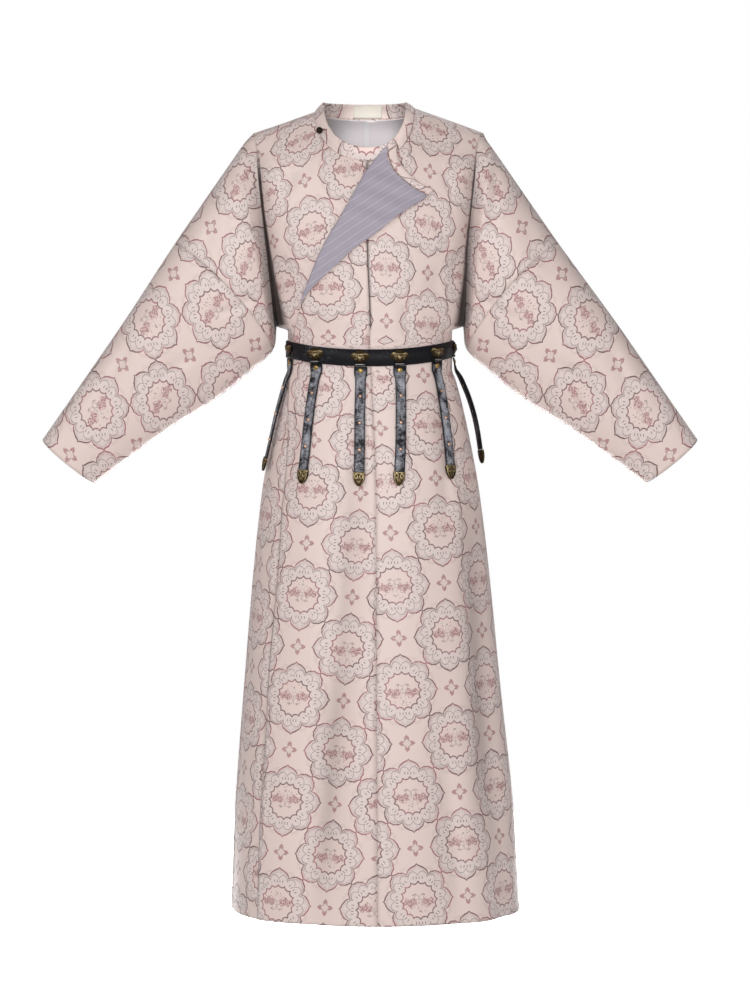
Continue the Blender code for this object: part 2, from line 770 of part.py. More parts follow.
def front_strip(name, first, last, keys, columns, lift, finish, thickness, top_reach):
    """A sheet over the front between two edges drawn as seen from the front.

    It stands off further near its top, over the reach where the collar lies under it.
    """
    rows = []
    for key in keys:
        start = read(first, key)
        end = read(last, key)
        key_lift = lift + FLAP_TOP_LIFT * (1.0 - ease(key / top_reach))
        row = []
        for column in range(columns + 1):
            part = column / columns
            row.append(front_place(mix(start.x, end.x, part), mix(start.z, end.z, part), key_lift))
        rows.append(row)
    return add_sheet(name, [(rows, False)], finish, thickness, outward=True)


def inset_curve(curve, toward, inset):
    """A curve moved a little toward another one."""
    moved = []
    for row in curve:
        other = read(toward, row.part)
        gap = Vector((other.x - row.x, other.z - row.z))
        step = gap.normalized() * min(inset, gap.length * 0.3)
        moved.append(CurveRow(row.part, row.x + step.x, row.z + step.y))
    return tuple(moved)


def make_flap():
    """The turned-down corner: its cloth against the front, and its striped lining outside."""
    keys = [0.0, 0.06, 0.12, 0.18, 0.26, 0.34, 0.42, 0.54, 0.66, 0.78, 0.90, 1.0]
    front_strip("flap_cloth", FLAP_FOLD, FLAP_FREE, keys, 5, FLAP_LIFT, brocade(), WALL, 0.20)
    free = inset_curve(FLAP_FREE, FLAP_FOLD, FLAP_EDGE_INSET)
    lift = FLAP_LIFT + WALL + REST_GAP
    front_strip("flap_lining", FLAP_FOLD, free, keys, 5, lift, striped_lining(), WALL, 0.20)
    turned = [step / 6 for step in range(7)]
    front_strip("collar_turned", TURNED_INNER, TURNED_OUTER, turned, 2, FLAP_LIFT,
                brocade(), COLLAR_WALL, 0.70)


def make_back_lining():
    """The pale lining behind the neck, from the neck edge to below the shoulder blades."""
    kept_rows = 9
    kept_columns = COLUMNS - 2
    grids = []
    for side in (RIGHT, LEFT):
        rows = []
        for places in body_rows(side, BACK)[1:kept_rows]:
            line = []
            for around, level in places[:kept_columns + 1]:
                point = lifted(around, level, -LINING_DROP)
                if abs(around) > 2.0 - TINY:
                    point.x = 0.0
                line.append(point)
            rows.append(line)
        grids.append((rows, is_flipped(side, BACK)))
    add_sheet("back_lining", grids, pale_lining(), 0.001)


def make_label():
    """The bare label, sewn flat on the inside of the collar at the back."""
    lines = collar_lines()
    middle = [pair for pair in lines if pair[1].y > COLLAR_BACK_Y * 0.6]
    inside = LABEL_THICKNESS + REST_GAP
    rows = []
    for part in (LABEL_TOP_PART, LABEL_LOW_PART):
        row = []
        for step in range(5):
            x = LABEL_MIDDLE_X + LABEL_WIDTH * (0.5 - step / 4)
            for first, last in zip(middle, middle[1:]):
                start = first[0].lerp(first[1], part)
                end = last[0].lerp(last[1], part)
                if start.x >= x >= end.x:
                    point = start.lerp(end, (start.x - x) / (start.x - end.x))
                    row.append(point - Vector((0.0, inside, 0.0)))
                    break
        rows.append(row)
    add_sheet("neck_label", [(rows, True)], material("label_cloth", (0.85, 0.80, 0.72), 0.7),
              LABEL_THICKNESS)


def make_button():
    """The knot button, as a round ball seated against the cloth and the collar's edge."""
    level = level_of_z(BUTTON_AT[0], BUTTON_AT[1])
    around = around_of_x(BUTTON_AT[0], level)
    seat = -under_drop(around, level) + BUTTON_LIFT + BUTTON_RADIUS
    shape = bmesh.new()
    bmesh.ops.create_uvsphere(shape, u_segments=14, v_segments=9, radius=BUTTON_RADIUS)
    mesh = bpy.data.meshes.new("knot_button")
    shape.to_mesh(mesh)
    shape.free()
    made = add_object("knot_button", mesh, material("dark_metal", (0.06, 0.045, 0.03), 0.4, 0.8))
    made.location = lifted(around, level, seat)


def belt_top_drop(around):
    """Drop of the belt's upper edge: it dips at the centre front."""
    turn = min(abs(around), 1.0)
    return BELT_TOP_DROP + BELT_DIP * math.cos(turn * math.pi / 2.0) ** 2


def belt_places():
    count = 4 * COLUMNS
    return [-2.0 + 4.0 * step / count for step in range(count + 1)]


def make_belt_band():
    """The band, with its two ends meeting at the centre back under the clasp."""
    rows = []
    for part in (0.0, 1.0):
        row = []
        for around in belt_places():
            drop = belt_top_drop(around) + BELT_HEIGHT * part
            point = lifted(around, level_of_drop(drop), BELT_GAP)
            point.z = -drop
            if abs(around) > 2.0 - TINY:
                point.x = math.copysign(REST_GAP, around)
            row.append(point)
        rows.append(row)
    add_sheet("belt_band", [(rows, False)], black_leather(), BELT_THICKNESS, outward=True)


def make_clasp():
    """A plain plate over the belt's ends at the centre back."""
    width, depth, height = CLASP_SIZE
    shape = bmesh.new()
    bmesh.ops.create_cube(shape, size=1.0)
    bmesh.ops.scale(shape, verts=shape.verts, vec=(width, depth, height))
    mesh = bpy.data.meshes.new("belt_clasp")
    shape.to_mesh(mesh)
    shape.free()
    made = add_object("belt_clasp", mesh, bronze())
    belt_level = level_of_drop(BELT_TOP_DROP + BELT_HEIGHT / 2.0)
    face = body_point(2.0, belt_level).y + BELT_GAP + BELT_THICKNESS
    made.location = (0.0, face + REST_GAP + depth / 2.0, -BELT_TOP_DROP - BELT_HEIGHT / 2.0)
    edge = made.modifiers.new("edge", "BEVEL")
    edge.width = 0.0009
    edge.segments = 1


def strap_place(strap, part):
    """Around, level and lift of a strap's middle line: part is 0 at the belt, 1 at the tip."""
    top = belt_top_drop(strap.top_around) + BELT_HEIGHT + REST_GAP
    drop = mix(top, strap.end_drop, part)
    around = mix(strap.top_around, strap.end_around, part)
    lift = mix(STRAP_LIFT, strap.end_lift, part * part) + strap.bow * math.sin(math.pi * part)
    return around, drop, lift


def strap_frame(strap, part):
    """Point, sideways, down and outward directions of a strap's middle line."""
    around, drop, lift = strap_place(strap, part)
    level = level_of_drop(drop)
    point = lifted(around, level, lift)
    outward = body_normal(around, level)
    ahead = strap_place(strap, part + 0.01)
    behind = strap_place(strap, part - 0.01)
    down = (lifted(ahead[0], level_of_drop(ahead[1]), ahead[2])
            - lifted(behind[0], level_of_drop(behind[1]), behind[2])).normalized()
    sideways = outward.cross(down).normalized()
    turn = Matrix.Rotation(-strap.twist * ease(part / STRAP_TWIST_PART), 3, down)
    sideways = turn @ sideways
    return point, sideways, down, down.cross(sideways).normalized()


def strap_end_part(strap):
    """Where the strap's leather ends and its bronze tip starts."""
    top = belt_top_drop(strap.top_around) + BELT_HEIGHT + REST_GAP
    return 1.0 - TIP_LENGTH / (strap.end_drop - top)


def strap_parts(strap):
    """Rows of a strap, at the skirt's own rows where it crosses them and at its rivets."""
    top = belt_top_drop(strap.top_around) + BELT_HEIGHT + REST_GAP
    length = strap.end_drop - top
    end = strap_end_part(strap)
    parts = [0.0, STRAP_TOP_LENGTH / length]
    parts += [(drop - top) / length for drop in SKIRT_DROPS]
    parts += [distance / length for distance in rivet_distances()]
    parts = sorted(part for part in parts if 0.0 <= part < end - 0.03)
    return parts + [end]


def meet_belt(row, around, half):
    """Set the two top corners of a strap just below the belt's slanting edge."""
    nudge = 0.01
    ahead = body_point(around + nudge, level_of_drop(BELT_TOP_DROP + BELT_HEIGHT))
    behind = body_point(around - nudge, level_of_drop(BELT_TOP_DROP + BELT_HEIGHT))
    turn = half * 2.0 * nudge / (ahead - behind).length
    for corner, point in enumerate(row):
        corner_around = around + (turn if corner else -turn)
        point.z = -(belt_top_drop(corner_around) + BELT_HEIGHT + 2.0 * REST_GAP)


def make_strap(strap):
    rows = []
    top = belt_top_drop(strap.top_around) + BELT_HEIGHT + REST_GAP
    length = strap.end_drop - top
    for part in strap_parts(strap):
        point, sideways, _, _ = strap_frame(strap, part)
        narrow = ease((part * length - STRAP_TOP_LENGTH) / 0.008)
        half = mix(STRAP_TOP_WIDTH, STRAP_WIDTH, narrow) / 2.0
        row = [point - sideways * half, point + sideways * half]
        if part == 0.0:
            meet_belt(row, strap.top_around, half)
        rows.append(row)
    add_sheet("strap_" + strap.name, [(rows, False)], black_leather(), STRAP_THICKNESS,
              outward=True)


def frame_matrix(point, sideways, outward):
    """Matrix with its X sideways, its Y into the cloth and its Z up."""
    into = outward * -1.0
    up = sideways.cross(into).normalized()
    return Matrix((
        (sideways.x, into.x, up.x, point.x),
        (sideways.y, into.y, up.y, point.y),
        (sideways.z, into.z, up.z, point.z),
        (0.0, 0.0, 0.0, 1.0),
    ))


def make_tip(strap):
    """The bronze end of a strap: a shield with a raised middle."""
    part = strap_end_part(strap)
    point, sideways, down, outward = strap_frame(strap, part)
    shape = bmesh.new()
    rings = []
    for row in TIP_OUTLINE:
        middle = point + down * (REST_GAP + row.along * TIP_LENGTH)
        edge = sideways * (TIP_WIDTH / 2.0 * row.half)
        rise = outward * (TIP_THICKNESS * (0.78 + 0.22 * math.sin(math.pi * min(row.along + 0.15, 1.0))))
        rings.append([
            shape.verts.new(middle - edge),
            shape.verts.new(middle - edge + rise * TIP_SHOULDER),
            shape.verts.new(middle - edge * 0.5 + rise),
            shape.verts.new(middle + edge * 0.5 + rise),
            shape.verts.new(middle + edge + rise * TIP_SHOULDER),
            shape.verts.new(middle + edge),
        ])
    for upper, lower in zip(rings, rings[1:]):
        for corner in range(len(upper)):
            after = (corner + 1) % len(upper)
            shape.faces.new((upper[corner], lower[corner], lower[after], upper[after]))
    shape.faces.new(rings[0])
    shape.faces.new(list(reversed(rings[-1])))
    bmesh.ops.recalc_face_normals(shape, faces=shape.faces)
    mesh = bpy.data.meshes.new("strap_tip_" + strap.name)
    shape.to_mesh(mesh)
    shape.free()
    add_object("strap_tip_" + strap.name, mesh, bronze())


def rivet_distances():
    """Distances of the rivets below the belt: the large one first, then three small ones."""
    return [RIVET_FIRST] + [RIVET_SECOND + RIVET_PITCH * step for step in range(3)]


def make_rivet(name, strap, distance, size, finish):
    """A low domed head, seated on a strap at a distance below the belt."""
    radius, rise = size
    top = belt_top_drop(strap.top_around) + BELT_HEIGHT + REST_GAP
    part = distance / (strap.end_drop - top)
    point, sideways, _, outward = strap_frame(strap, part)
    shape = bmesh.new()
    bmesh.ops.create_cone(shape, cap_ends=True, segments=10, radius1=radius,
                          radius2=radius * 0.55, depth=rise)
    mesh = bpy.data.meshes.new(name)
    shape.to_mesh(mesh)
    shape.free()
    made = add_object(name, mesh, finish)
    seat = point + outward * (STRAP_THICKNESS + 2.0 * REST_GAP + rise / 2.0)
    turned = frame_matrix(seat, sideways, outward) @ Matrix.Rotation(math.pi / 2.0, 4, "X")
    made.matrix_world = turned


def mount_outline(angle):
    """Reach of the mount's lobed outline at an angle, as shares of its half width and height."""
    return 1.0 + 0.07 * math.cos(4.0 * angle) + 0.05 * math.cos(2.0 * angle)


def mount_height(across, up):
    """Relief of the mount: a brow, two bosses below it and a blunt snout."""
    dome = 0.55 * max(1.0 - across * across - up * up, 0.0)
    brow = 0.30 * math.exp(-((up - 0.42) / 0.22) ** 2 - (across / 0.75) ** 2)
    bosses = 0.28 * math.exp(-((abs(across) - 0.42) / 0.20) ** 2 - ((up - 0.02) / 0.24) ** 2)
    snout = 0.45 * math.exp(-(across / 0.26) ** 2 - ((up + 0.28) / 0.34) ** 2)
    return (0.25 + dome + brow + bosses + snout) / MOUNT_TALLEST


def make_mount(strap):
    """The bronze mount on the belt above a strap: a lobed plaque with soft relief."""
    around = strap.top_around
    drop = belt_top_drop(around) + BELT_HEIGHT * 0.44
    level = level_of_drop(drop)
    outward = body_normal(around, level)
    outward.z = 0.0
    outward.normalize()
    sideways = outward.cross(Vector((0.0, 0.0, -1.0))).normalized()
    seat = lifted(around, level, BELT_GAP) + outward * (BELT_THICKNESS + REST_GAP)
    shape = bmesh.new()
    back = []
    front = [[] for _ in range(MOUNT_RINGS)]
    for segment in range(MOUNT_SEGMENTS):
        angle = 2.0 * math.pi * segment / MOUNT_SEGMENTS
        reach = mount_outline(angle)
        across = math.cos(angle) * reach
        up = math.sin(angle) * reach
        back.append(mount_vertex(shape, seat, sideways, outward, across, up, 0.0))
        for ring in range(MOUNT_RINGS):
            share = 1.0 - ring / MOUNT_RINGS
            height = mount_height(across * share, up * share) if ring else MOUNT_EDGE
            front[ring].append(mount_vertex(shape, seat, sideways, outward, across * share,
                                            up * share, height))
    centre = mount_vertex(shape, seat, sideways, outward, 0.0, 0.0, mount_height(0.0, 0.0))
    loops = [back] + front
    for outer, inner in zip(loops, loops[1:]):
        for corner in range(MOUNT_SEGMENTS):
            after = (corner + 1) % MOUNT_SEGMENTS
            shape.faces.new((outer[corner], outer[after], inner[after], inner[corner]))
    for corner in range(MOUNT_SEGMENTS):
        after = (corner + 1) % MOUNT_SEGMENTS
        shape.faces.new((front[-1][corner], front[-1][after], centre))
    shape.faces.new(list(reversed(back)))
    bmesh.ops.recalc_face_normals(shape, faces=shape.faces)
    mesh = bpy.data.meshes.new("belt_mount_" + strap.name)
    shape.to_mesh(mesh)
    shape.free()
    add_object("belt_mount_" + strap.name, mesh, bronze())


def mount_vertex(shape, seat, sideways, outward, across, up, height):
    return shape.verts.new(seat + sideways * (across * MOUNT_WIDTH / 2.0)
                           + Vector((0.0, 0.0, up * MOUNT_HEIGHT / 2.0))
                           + outward * (height * MOUNT_DEPTH))


def make_straps():
    for strap in STRAP_ROWS:
        make_strap(strap)
        make_tip(strap)
        make_mount(strap)
        distances = rivet_distances()
        make_rivet("rivet_large_" + strap.name, strap, distances[0], LARGE_RIVET, bronze())
        for number, distance in enumerate(distances[1:], start=1):
            name = "rivet_small_{}_{}".format(strap.name, number)
            make_rivet(name, strap, distance, SMALL_RIVET, copper())


def main():
    clear_scene()
    collection = bpy.data.collections.new("round_collar_robe")
    bpy.context.scene.collection.children.link(collection)
    make_body_half("body_right", RIGHT)
    make_body_half("body_left", LEFT)
    make_sleeve_end("sleeve_right", RIGHT)
    make_sleeve_end("sleeve_left", LEFT)
    make_front_lap()
    make_inner_lap()
    make_collar_band()
    make_flap()
    make_back_lining()
    make_label()
    make_button()
    make_belt_band()
    make_clasp()
    make_straps()


main()
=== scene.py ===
"""Round-collar robe of printed satin with a leather strap belt, dressed on its CAD frame.

Metres, +Z up. The wearer faces -Y and the wearer's left is +X. The origin is the middle of
the neck opening, level with the top of the collar.

The cloth is one surface. A place on the body has two numbers: "around" is 0 at the centre
front, 1 at the left side, -1 at the right side and 2 or -2 at the centre back, and "level" is
0 along the shoulder fold, 1 at the underarm and 2 at the hem.
"""

import math
from collections import namedtuple
from functools import partialmethod

import bmesh
import bpy
import numpy as np
from bpy.props import FloatProperty, FloatVectorProperty, PointerProperty
from mathutils import Matrix, Vector


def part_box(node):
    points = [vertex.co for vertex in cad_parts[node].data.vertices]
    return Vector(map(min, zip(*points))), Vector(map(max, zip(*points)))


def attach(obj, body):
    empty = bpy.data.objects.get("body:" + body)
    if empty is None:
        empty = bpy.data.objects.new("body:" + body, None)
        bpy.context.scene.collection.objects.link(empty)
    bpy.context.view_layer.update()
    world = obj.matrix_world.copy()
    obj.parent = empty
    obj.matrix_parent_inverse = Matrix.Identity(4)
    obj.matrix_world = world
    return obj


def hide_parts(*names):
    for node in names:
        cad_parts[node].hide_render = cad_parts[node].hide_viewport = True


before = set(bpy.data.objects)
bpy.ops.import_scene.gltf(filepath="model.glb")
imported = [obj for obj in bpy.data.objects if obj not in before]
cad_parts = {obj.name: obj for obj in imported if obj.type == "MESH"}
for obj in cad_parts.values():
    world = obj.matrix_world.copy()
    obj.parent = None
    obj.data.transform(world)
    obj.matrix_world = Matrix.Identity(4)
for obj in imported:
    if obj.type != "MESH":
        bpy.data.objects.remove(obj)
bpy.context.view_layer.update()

bl_info = {
    "name": "Round-collar robe",
    "version": (1, 0, 0),
    "blender": (4, 5, 0),
    "location": "View3D > Sidebar > Robe",
    "description": "A printed satin robe with a turned-down collar corner and a strap belt",
    "category": "Object",
}

FRONT = -1
BACK = 1
RIGHT = -1
LEFT = 1
SIDES = {RIGHT: "right", LEFT: "left"}

# Walls and gaps
WALL = 0.0015
COLLAR_WALL = 0.0018
LINING_WALL = 0.0010
LABEL_WALL = 0.0008
SEAM_GAP = 0.0001
UNDER_SEAM_SHIFT = 0.0012
UNDER_DROP = 0.0032
LINING_DROP = 0.0021
REST_GAP = 0.0004
TINY = 0.000001
WELD = 0.00002
HALVINGS = 30
UP = Vector((0.0, 0.0, 1.0))

# Heights and widths of the body
UNDERARM_Z = -0.363
HEM_DROP = 1.320
SHOULDER_START_X = 0.0745
SHOULDER_START_Z = -0.009
SHOULDER_SLOPE = 0.355
LEAN = 0.0055
LEAN_END_Z = -0.38
LEAN_RAMP = 0.18
LEAN_TOP_Z = -0.035
LEAN_TOP_RAMP = 0.03
NECK_REACH = {RIGHT: 0.0876, LEFT: 0.0711}
NECK_LEVEL = {FRONT: 0.492, BACK: 0.207}
COLLAR_REACH = {RIGHT: 0.0746, LEFT: 0.0581}
COLLAR_FRONT_Z = -0.0755
COLLAR_BACK_Y = 0.046
COLLAR_HEIGHT = 0.016
COLLAR_ROWS = 9
UNDER_SIDE_AROUND = 0.985
UNDER_SIDE_REACH = 0.05
UNDER_TOP_LEVEL = 0.10
UNDER_TOP_REACH = 0.25
RING_POWER = 2.3
CREASE_POWER = 9

# Sleeve
SLEEVE_TOP_START = (0.187, -0.048)
SLEEVE_TOP_END = (0.5355, -0.5470)
SLEEVE_TOP_LENGTH = 0.610
SLEEVE_LOWER_LENGTH = 0.390
SEAM_ALONG_TOP = 0.358
SEAM_ALONG_LOWER = 0.06
CREASE_WIDTH = 0.030
CUFF_LEAN = (0.57, 0.82)
SLEEVE_ROUNDNESS = 0.85
SLEEVE_TOP_HEAVY = 0.2
CUFF_BULGE = 0.0035

# Belt
BELT_HEIGHT = 0.027
BELT_THICKNESS = 0.003
BELT_TOP_DROP = 0.3855
BELT_DIP = 0.0130
BELT_RINGS = 241
BELT_GAP = 0.0006
STRAP_WIDTH = 0.0172
STRAP_TOP_WIDTH = 0.0215
STRAP_TOP_LENGTH = 0.013
STRAP_THICKNESS = 0.0024
STRAP_TAPER = 0.008
STRAP_BEVEL = 0.0007
STRAP_RINGS = 44
STRAP_LIFT = 0.0012
STRAP_TWIST_PART = 0.25
TIP_WIDTH = 0.0200
TIP_LENGTH = 0.0225
TIP_THICKNESS = 0.0052
TIP_RELIEF = 0.0008
TIP_ROWS = 26
TIP_COLUMNS = 25
RIVET_FIRST = 0.007
RIVET_SECOND = 0.0480
RIVET_PITCH = 0.0425
LARGE_RIVET = {"Radius": 0.0042, "Rise": 0.0016}
SMALL_RIVET = {"Radius": 0.0031, "Rise": 0.0026}
MOUNT_WIDTH = 0.0280
MOUNT_HEIGHT = 0.0200
MOUNT_DEPTH = 0.0065
MOUNT_TALLEST = 1.55
MOUNT_SEGMENTS = 72
MOUNT_RIM = (0.0, 0.13)
MOUNT_MIDDLE_PART = 0.44
MOUNT_REACH_PART = 0.51
LOOP_GAP = 0.0006
LOOP_THICKNESS = 0.0011
LOOP_BEVEL = 0.0005
KEEPER_REACH = 0.6
KEEPER_HALF_LENGTH = 0.0078
KEEPER_RADIUS = 0.0011
KEEPER_LIFT = 0.0014
KEEPER_DROP = 0.0016
CLASP_CORNER = 0.004

# Turned corner, button and label
FLAP_LIFT = 0.0017
FLAP_TOP_LIFT = 0.0040
FLAP_EDGE_INSET = 0.0022
FLAP_TOP_REACH = 0.20
FLAP_ROWS = 90
FLAP_COLUMNS = 22
FLAP_LINING_COLUMNS = 34
FLAP_WAVE = 0.0006
TURNED_ROWS = 46
TURNED_COLUMNS = 9
TURNED_TOP_REACH = 0.70
TURNED_HEIGHT = 0.014
BUTTON_RADIUS = 0.0055
BUTTON_AT = (-0.0805, -0.0500)
BUTTON_LIFT = 0.0012
BUTTON_CORD_RADIUS = 0.0007
BUTTON_ROWS = 28
BUTTON_SEGMENTS = 40
LABEL_WIDTH = 0.0467
LABEL_MIDDLE_X = -0.0038
LABEL_TOP_PART = 0.93
LABEL_LOW_PART = 0.08
LABEL_COLUMNS = 25
LABEL_ROWS = 7
LABEL_PUFF = 0.6
STITCH = {"Step": 0.0024, "Length": 0.0015, "Thickness": 0.00035}


class Table:
    """Rows of numbers, read at any key on a smooth curve through the first column."""

    def __init__(self, fields, *rows):
        self.row = namedtuple("Row", fields)
        grid = np.array(rows, dtype=float)
        self.keys = grid[:, 0]
        self.values = grid[:, 1:]
        slopes = np.diff(self.values, axis=0) / np.diff(self.keys)[:, None]
        before = slopes[:-1]
        after = slopes[1:]
        turning = before * after <= 0.0
        total = np.where(turning, 1.0, before + after)
        inner = np.where(turning, 0.0, 2.0 * before * after / total)
        self.slopes = np.vstack([slopes[:1], inner, slopes[-1:]])

    def at(self, key):
        key = np.clip(np.asarray(key, dtype=float), self.keys[0], self.keys[-1])
        index = np.clip(np.searchsorted(self.keys, key, side="right") - 1, 0, len(self.keys) - 2)
        span = self.keys[index + 1] - self.keys[index]
        part = (key - self.keys[index]) / span
        square = part * part
        cube = square * part
        result = (self.values[index] * (2 * cube - 3 * square + 1)[..., None]
                  + self.slopes[index] * (span * (cube - 2 * square + part))[..., None]
                  + self.values[index + 1] * (3 * square - 2 * cube)[..., None]
                  + self.slopes[index + 1] * (span * (cube - square))[..., None])
        return self.row(key, *np.moveaxis(result, -1, 0))


TORSO = Table(
    "level side_x crease_x crease_depth front_depth back_depth",
    (0.00, 0.1870, 0.1870, 0.000, 0.000, 0.000),
    (0.11, 0.1810, 0.1830, 0.016, 0.018, 0.026),
    (0.21, 0.1775, 0.1805, 0.028, 0.034, 0.048),
    (0.33, 0.1730, 0.1775, 0.040, 0.053, 0.072),
    (0.48, 0.1680, 0.1745, 0.050, 0.080, 0.095),
    (0.62, 0.1610, 0.1700, 0.050, 0.096, 0.106),
    (0.78, 0.1510, 0.1625, 0.040, 0.106, 0.110),
    (0.90, 0.1425, 0.1575, 0.030, 0.106, 0.105),
    (0.95, 0.1395, 0.1552, 0.0235, 0.105, 0.103),
    (0.98, 0.1372, 0.1538, 0.0170, 0.1045, 0.1015),
    (1.00, 0.1350, 0.1525, 0.0000, 0.104, 0.100),
)
SKIRT = Table(
    "drop half_width front_depth back_depth middle_x front_x",
    (0.363, 0.1350, 0.1040, 0.1000, 0.0000, -0.0020),
    (0.376, 0.1340, 0.1025, 0.0990, 0.0000, -0.0010),
    (0.396, 0.1340, 0.1025, 0.0990, 0.0000, 0.0000),
    (0.432, 0.1340, 0.1025, 0.0990, 0.0000, 0.0020),
    (0.450, 0.1400, 0.1055, 0.1030, 0.0000, 0.0030),
    (0.500, 0.1530, 0.1150, 0.1130, 0.0000, 0.0050),
    (0.560, 0.1650, 0.1255, 0.1240, 0.0005, 0.0080),
    (0.633, 0.1780, 0.1340, 0.1340, 0.0010, 0.0100),
    (0.748, 0.1920, 0.1435, 0.1440, 0.0020, 0.0105),
    (0.977, 0.2130, 0.1580, 0.1590, 0.0035, 0.0110),
    (1.174, 0.2305, 0.1670, 0.1690, 0.0065, 0.0120),
    (1.320, 0.2385, 0.1715, 0.1740, 0.0085, 0.0125),
)
SLEEVE = Table(
    "along lower_x lower_z depth",
    (0.00, 0.1525, -0.3630, 0.066),
    (0.05, 0.1550, -0.3920, 0.070),
    (0.20, 0.1950, -0.4350, 0.074),
    (0.40, 0.2550, -0.4830, 0.068),
    (0.60, 0.3200, -0.5230, 0.058),
    (0.80, 0.3850, -0.5690, 0.047),
    (1.00, 0.4510, -0.6180, 0.036),
)

# Soft folds of the skirt, drawn in from its round form
SkirtFold = namedtuple("SkirtFold", "at_hem at_top width depth start full")
SKIRT_FOLDS = (
    SkirtFold(-0.28, -0.12, 0.14, 0.0060, 1.05, 1.60),
    SkirtFold(0.30, 0.36, 0.12, 0.0050, 1.15, 1.70),
    SkirtFold(0.66, 0.62, 0.10, 0.0055, 1.25, 1.65),
    SkirtFold(1.28, 1.22, 0.13, 0.0060, 1.15, 1.70),
    SkirtFold(1.66, 1.60, 0.12, 0.0070, 1.10, 1.70),
    SkirtFold(-1.36, -1.30, 0.13, 0.0070, 1.15, 1.70),
    SkirtFold(-1.74, -1.68, 0.11, 0.0055, 1.20, 1.75),
)

# Edges seen from the front
FOLD_EDGE = Table(
    "drop x",
    (0.0739, 0.0258), (0.1157, -0.0063), (0.1478, -0.0247), (0.1832, -0.0448),
    (0.2330, -0.0737), (0.2877, -0.0970), (0.3240, -0.1101),
)
LAP_EDGE = Table(
    "drop x",
    (0.324, -0.1101), (0.394, -0.1270), (0.503, -0.1340), (0.592, -0.1386), (0.655, -0.1440),
    (0.746, -0.1490), (0.829, -0.1570), (0.920, -0.1650), (1.015, -0.1684), (1.167, -0.1800),
    (1.320, -0.1828),
)
FLAP_FOLD = Table(
    "part x z",
    (0.00, 0.0258, -0.0760), (0.16, -0.0063, -0.1157), (0.29, -0.0247, -0.1478),
    (0.43, -0.0448, -0.1832), (0.63, -0.0737, -0.2330), (0.84, -0.0970, -0.2877),
    (1.00, -0.1101, -0.3240),
)
FLAP_FREE = Table(
    "part x z",
    (0.00, 0.0275, -0.0770), (0.06, 0.0299, -0.0948), (0.12, 0.0371, -0.1109),
    (0.18, 0.0499, -0.1254), (0.26, 0.0725, -0.1422), (0.34, 0.0920, -0.1530),
    (0.42, 0.0783, -0.1639), (0.54, 0.0468, -0.1848), (0.66, 0.0075, -0.2153),
    (0.75, -0.0207, -0.2346), (0.85, -0.0561, -0.2668), (0.94, -0.0898, -0.2989),
    (1.00, -0.1085, -0.3235),
)
TURNED_INNER = Table(
    "part x z",
    (0.00, 0.0290, -0.0740), (0.20, 0.0312, -0.0948), (0.40, 0.0384, -0.1101),
    (0.60, 0.0512, -0.1242), (0.80, 0.0733, -0.1408), (1.00, 0.0934, -0.1515),
)
TURNED_OUTER = Table(
    "part x z",
    (0.00, 0.0414, -0.0720), (0.20, 0.0429, -0.0916), (0.40, 0.0532, -0.1093),
    (0.60, 0.0693, -0.1254), (0.80, 0.0870, -0.1365), (1.00, 0.1014, -0.1420),
)

# Levels of the cloth's rows: where a row starts at the neck or centre, and where it meets the
# armhole crease
NECK_ROWS = {
    FRONT: Table("angle crease", (0, 0.0), (18, 0.13), (36, 0.23), (54, 0.32), (66, 0.41), (90, 0.49)),
    BACK: Table("angle crease", (0, 0.0), (18, 0.10), (36, 0.18), (54, 0.26), (66, 0.33), (90, 0.40)),
}
LOWER_ROWS = {
    FRONT: Table("start end", (0.492, 0.49), (0.55, 0.56), (0.62, 0.63), (0.70, 0.70), (0.78, 0.78),
                 (0.86, 0.86), (1.0, 1.0)),
    BACK: Table("start end", (0.207, 0.40), (0.31, 0.47), (0.42, 0.55), (0.54, 0.63), (0.66, 0.71),
                (0.77, 0.79), (0.86, 0.86), (1.0, 1.0)),
}
NECK_ROW_COUNT = 26
LOWER_ROW_COUNTS = {FRONT: 62, BACK: 74}
SKIRT_DROPS = np.linspace(-UNDERARM_Z, HEM_DROP, 170)
BODY_COLUMNS = 50
UPPER_SLEEVE_COLUMNS = 36
SLEEVE_END_COLUMNS = 68
FOLD_EDGE_GAP = 0.003
FRONT_LAP_TOP_LEVEL = 0.55
FRONT_LAP_COLUMNS = 34
INNER_LAP_COLUMNS = 22
LAP_TORSO_ROWS = 50
LAP_EDGE_INSET = 0.002
LEAST_ROW_GAP = 0.0012
LINING_LEVELS = (0.11, 0.47)
LINING_SHARE = 0.80
LINING_SEAM = (0.0004, 0.004)
COLLAR_START_ANGLE = 66.0
COLLAR_OVERLAP = 0.0008
COLLAR_LIFT = 0.0003
UNDER_COLLAR_END_ANGLE = 54.0
INNER_LAP_REACH = 0.52

# Hanging straps: where each hangs and ends, how far it stands off, and how far it is turned
StrapRow = namedtuple("StrapRow", "name top_around end_around end_drop end_lift bow twist")
STRAP_ROWS = (
    StrapRow("1", -0.800, -0.930, 0.5990, 0.0040, 0.0, 0.0),
    StrapRow("2", -0.413, -0.430, 0.6140, 0.0016, 0.0, 0.0),
    StrapRow("3", -0.057, -0.077, 0.6166, 0.0016, 0.0, 0.0),
    StrapRow("4", 0.190, 0.103, 0.6156, 0.0016, 0.0, 0.0),
    StrapRow("5", 0.550, 0.462, 0.6070, 0.0018, 0.0, 0.0),
    StrapRow("6", 0.940, 0.900, 0.5880, 0.0110, 0.0100, 0.45),
)
TIP_OUTLINE = Table("along half", (0.0, 0.98), (0.10, 1.0), (0.45, 0.94), (0.70, 0.74),
                    (0.88, 0.46), (0.97, 0.18))

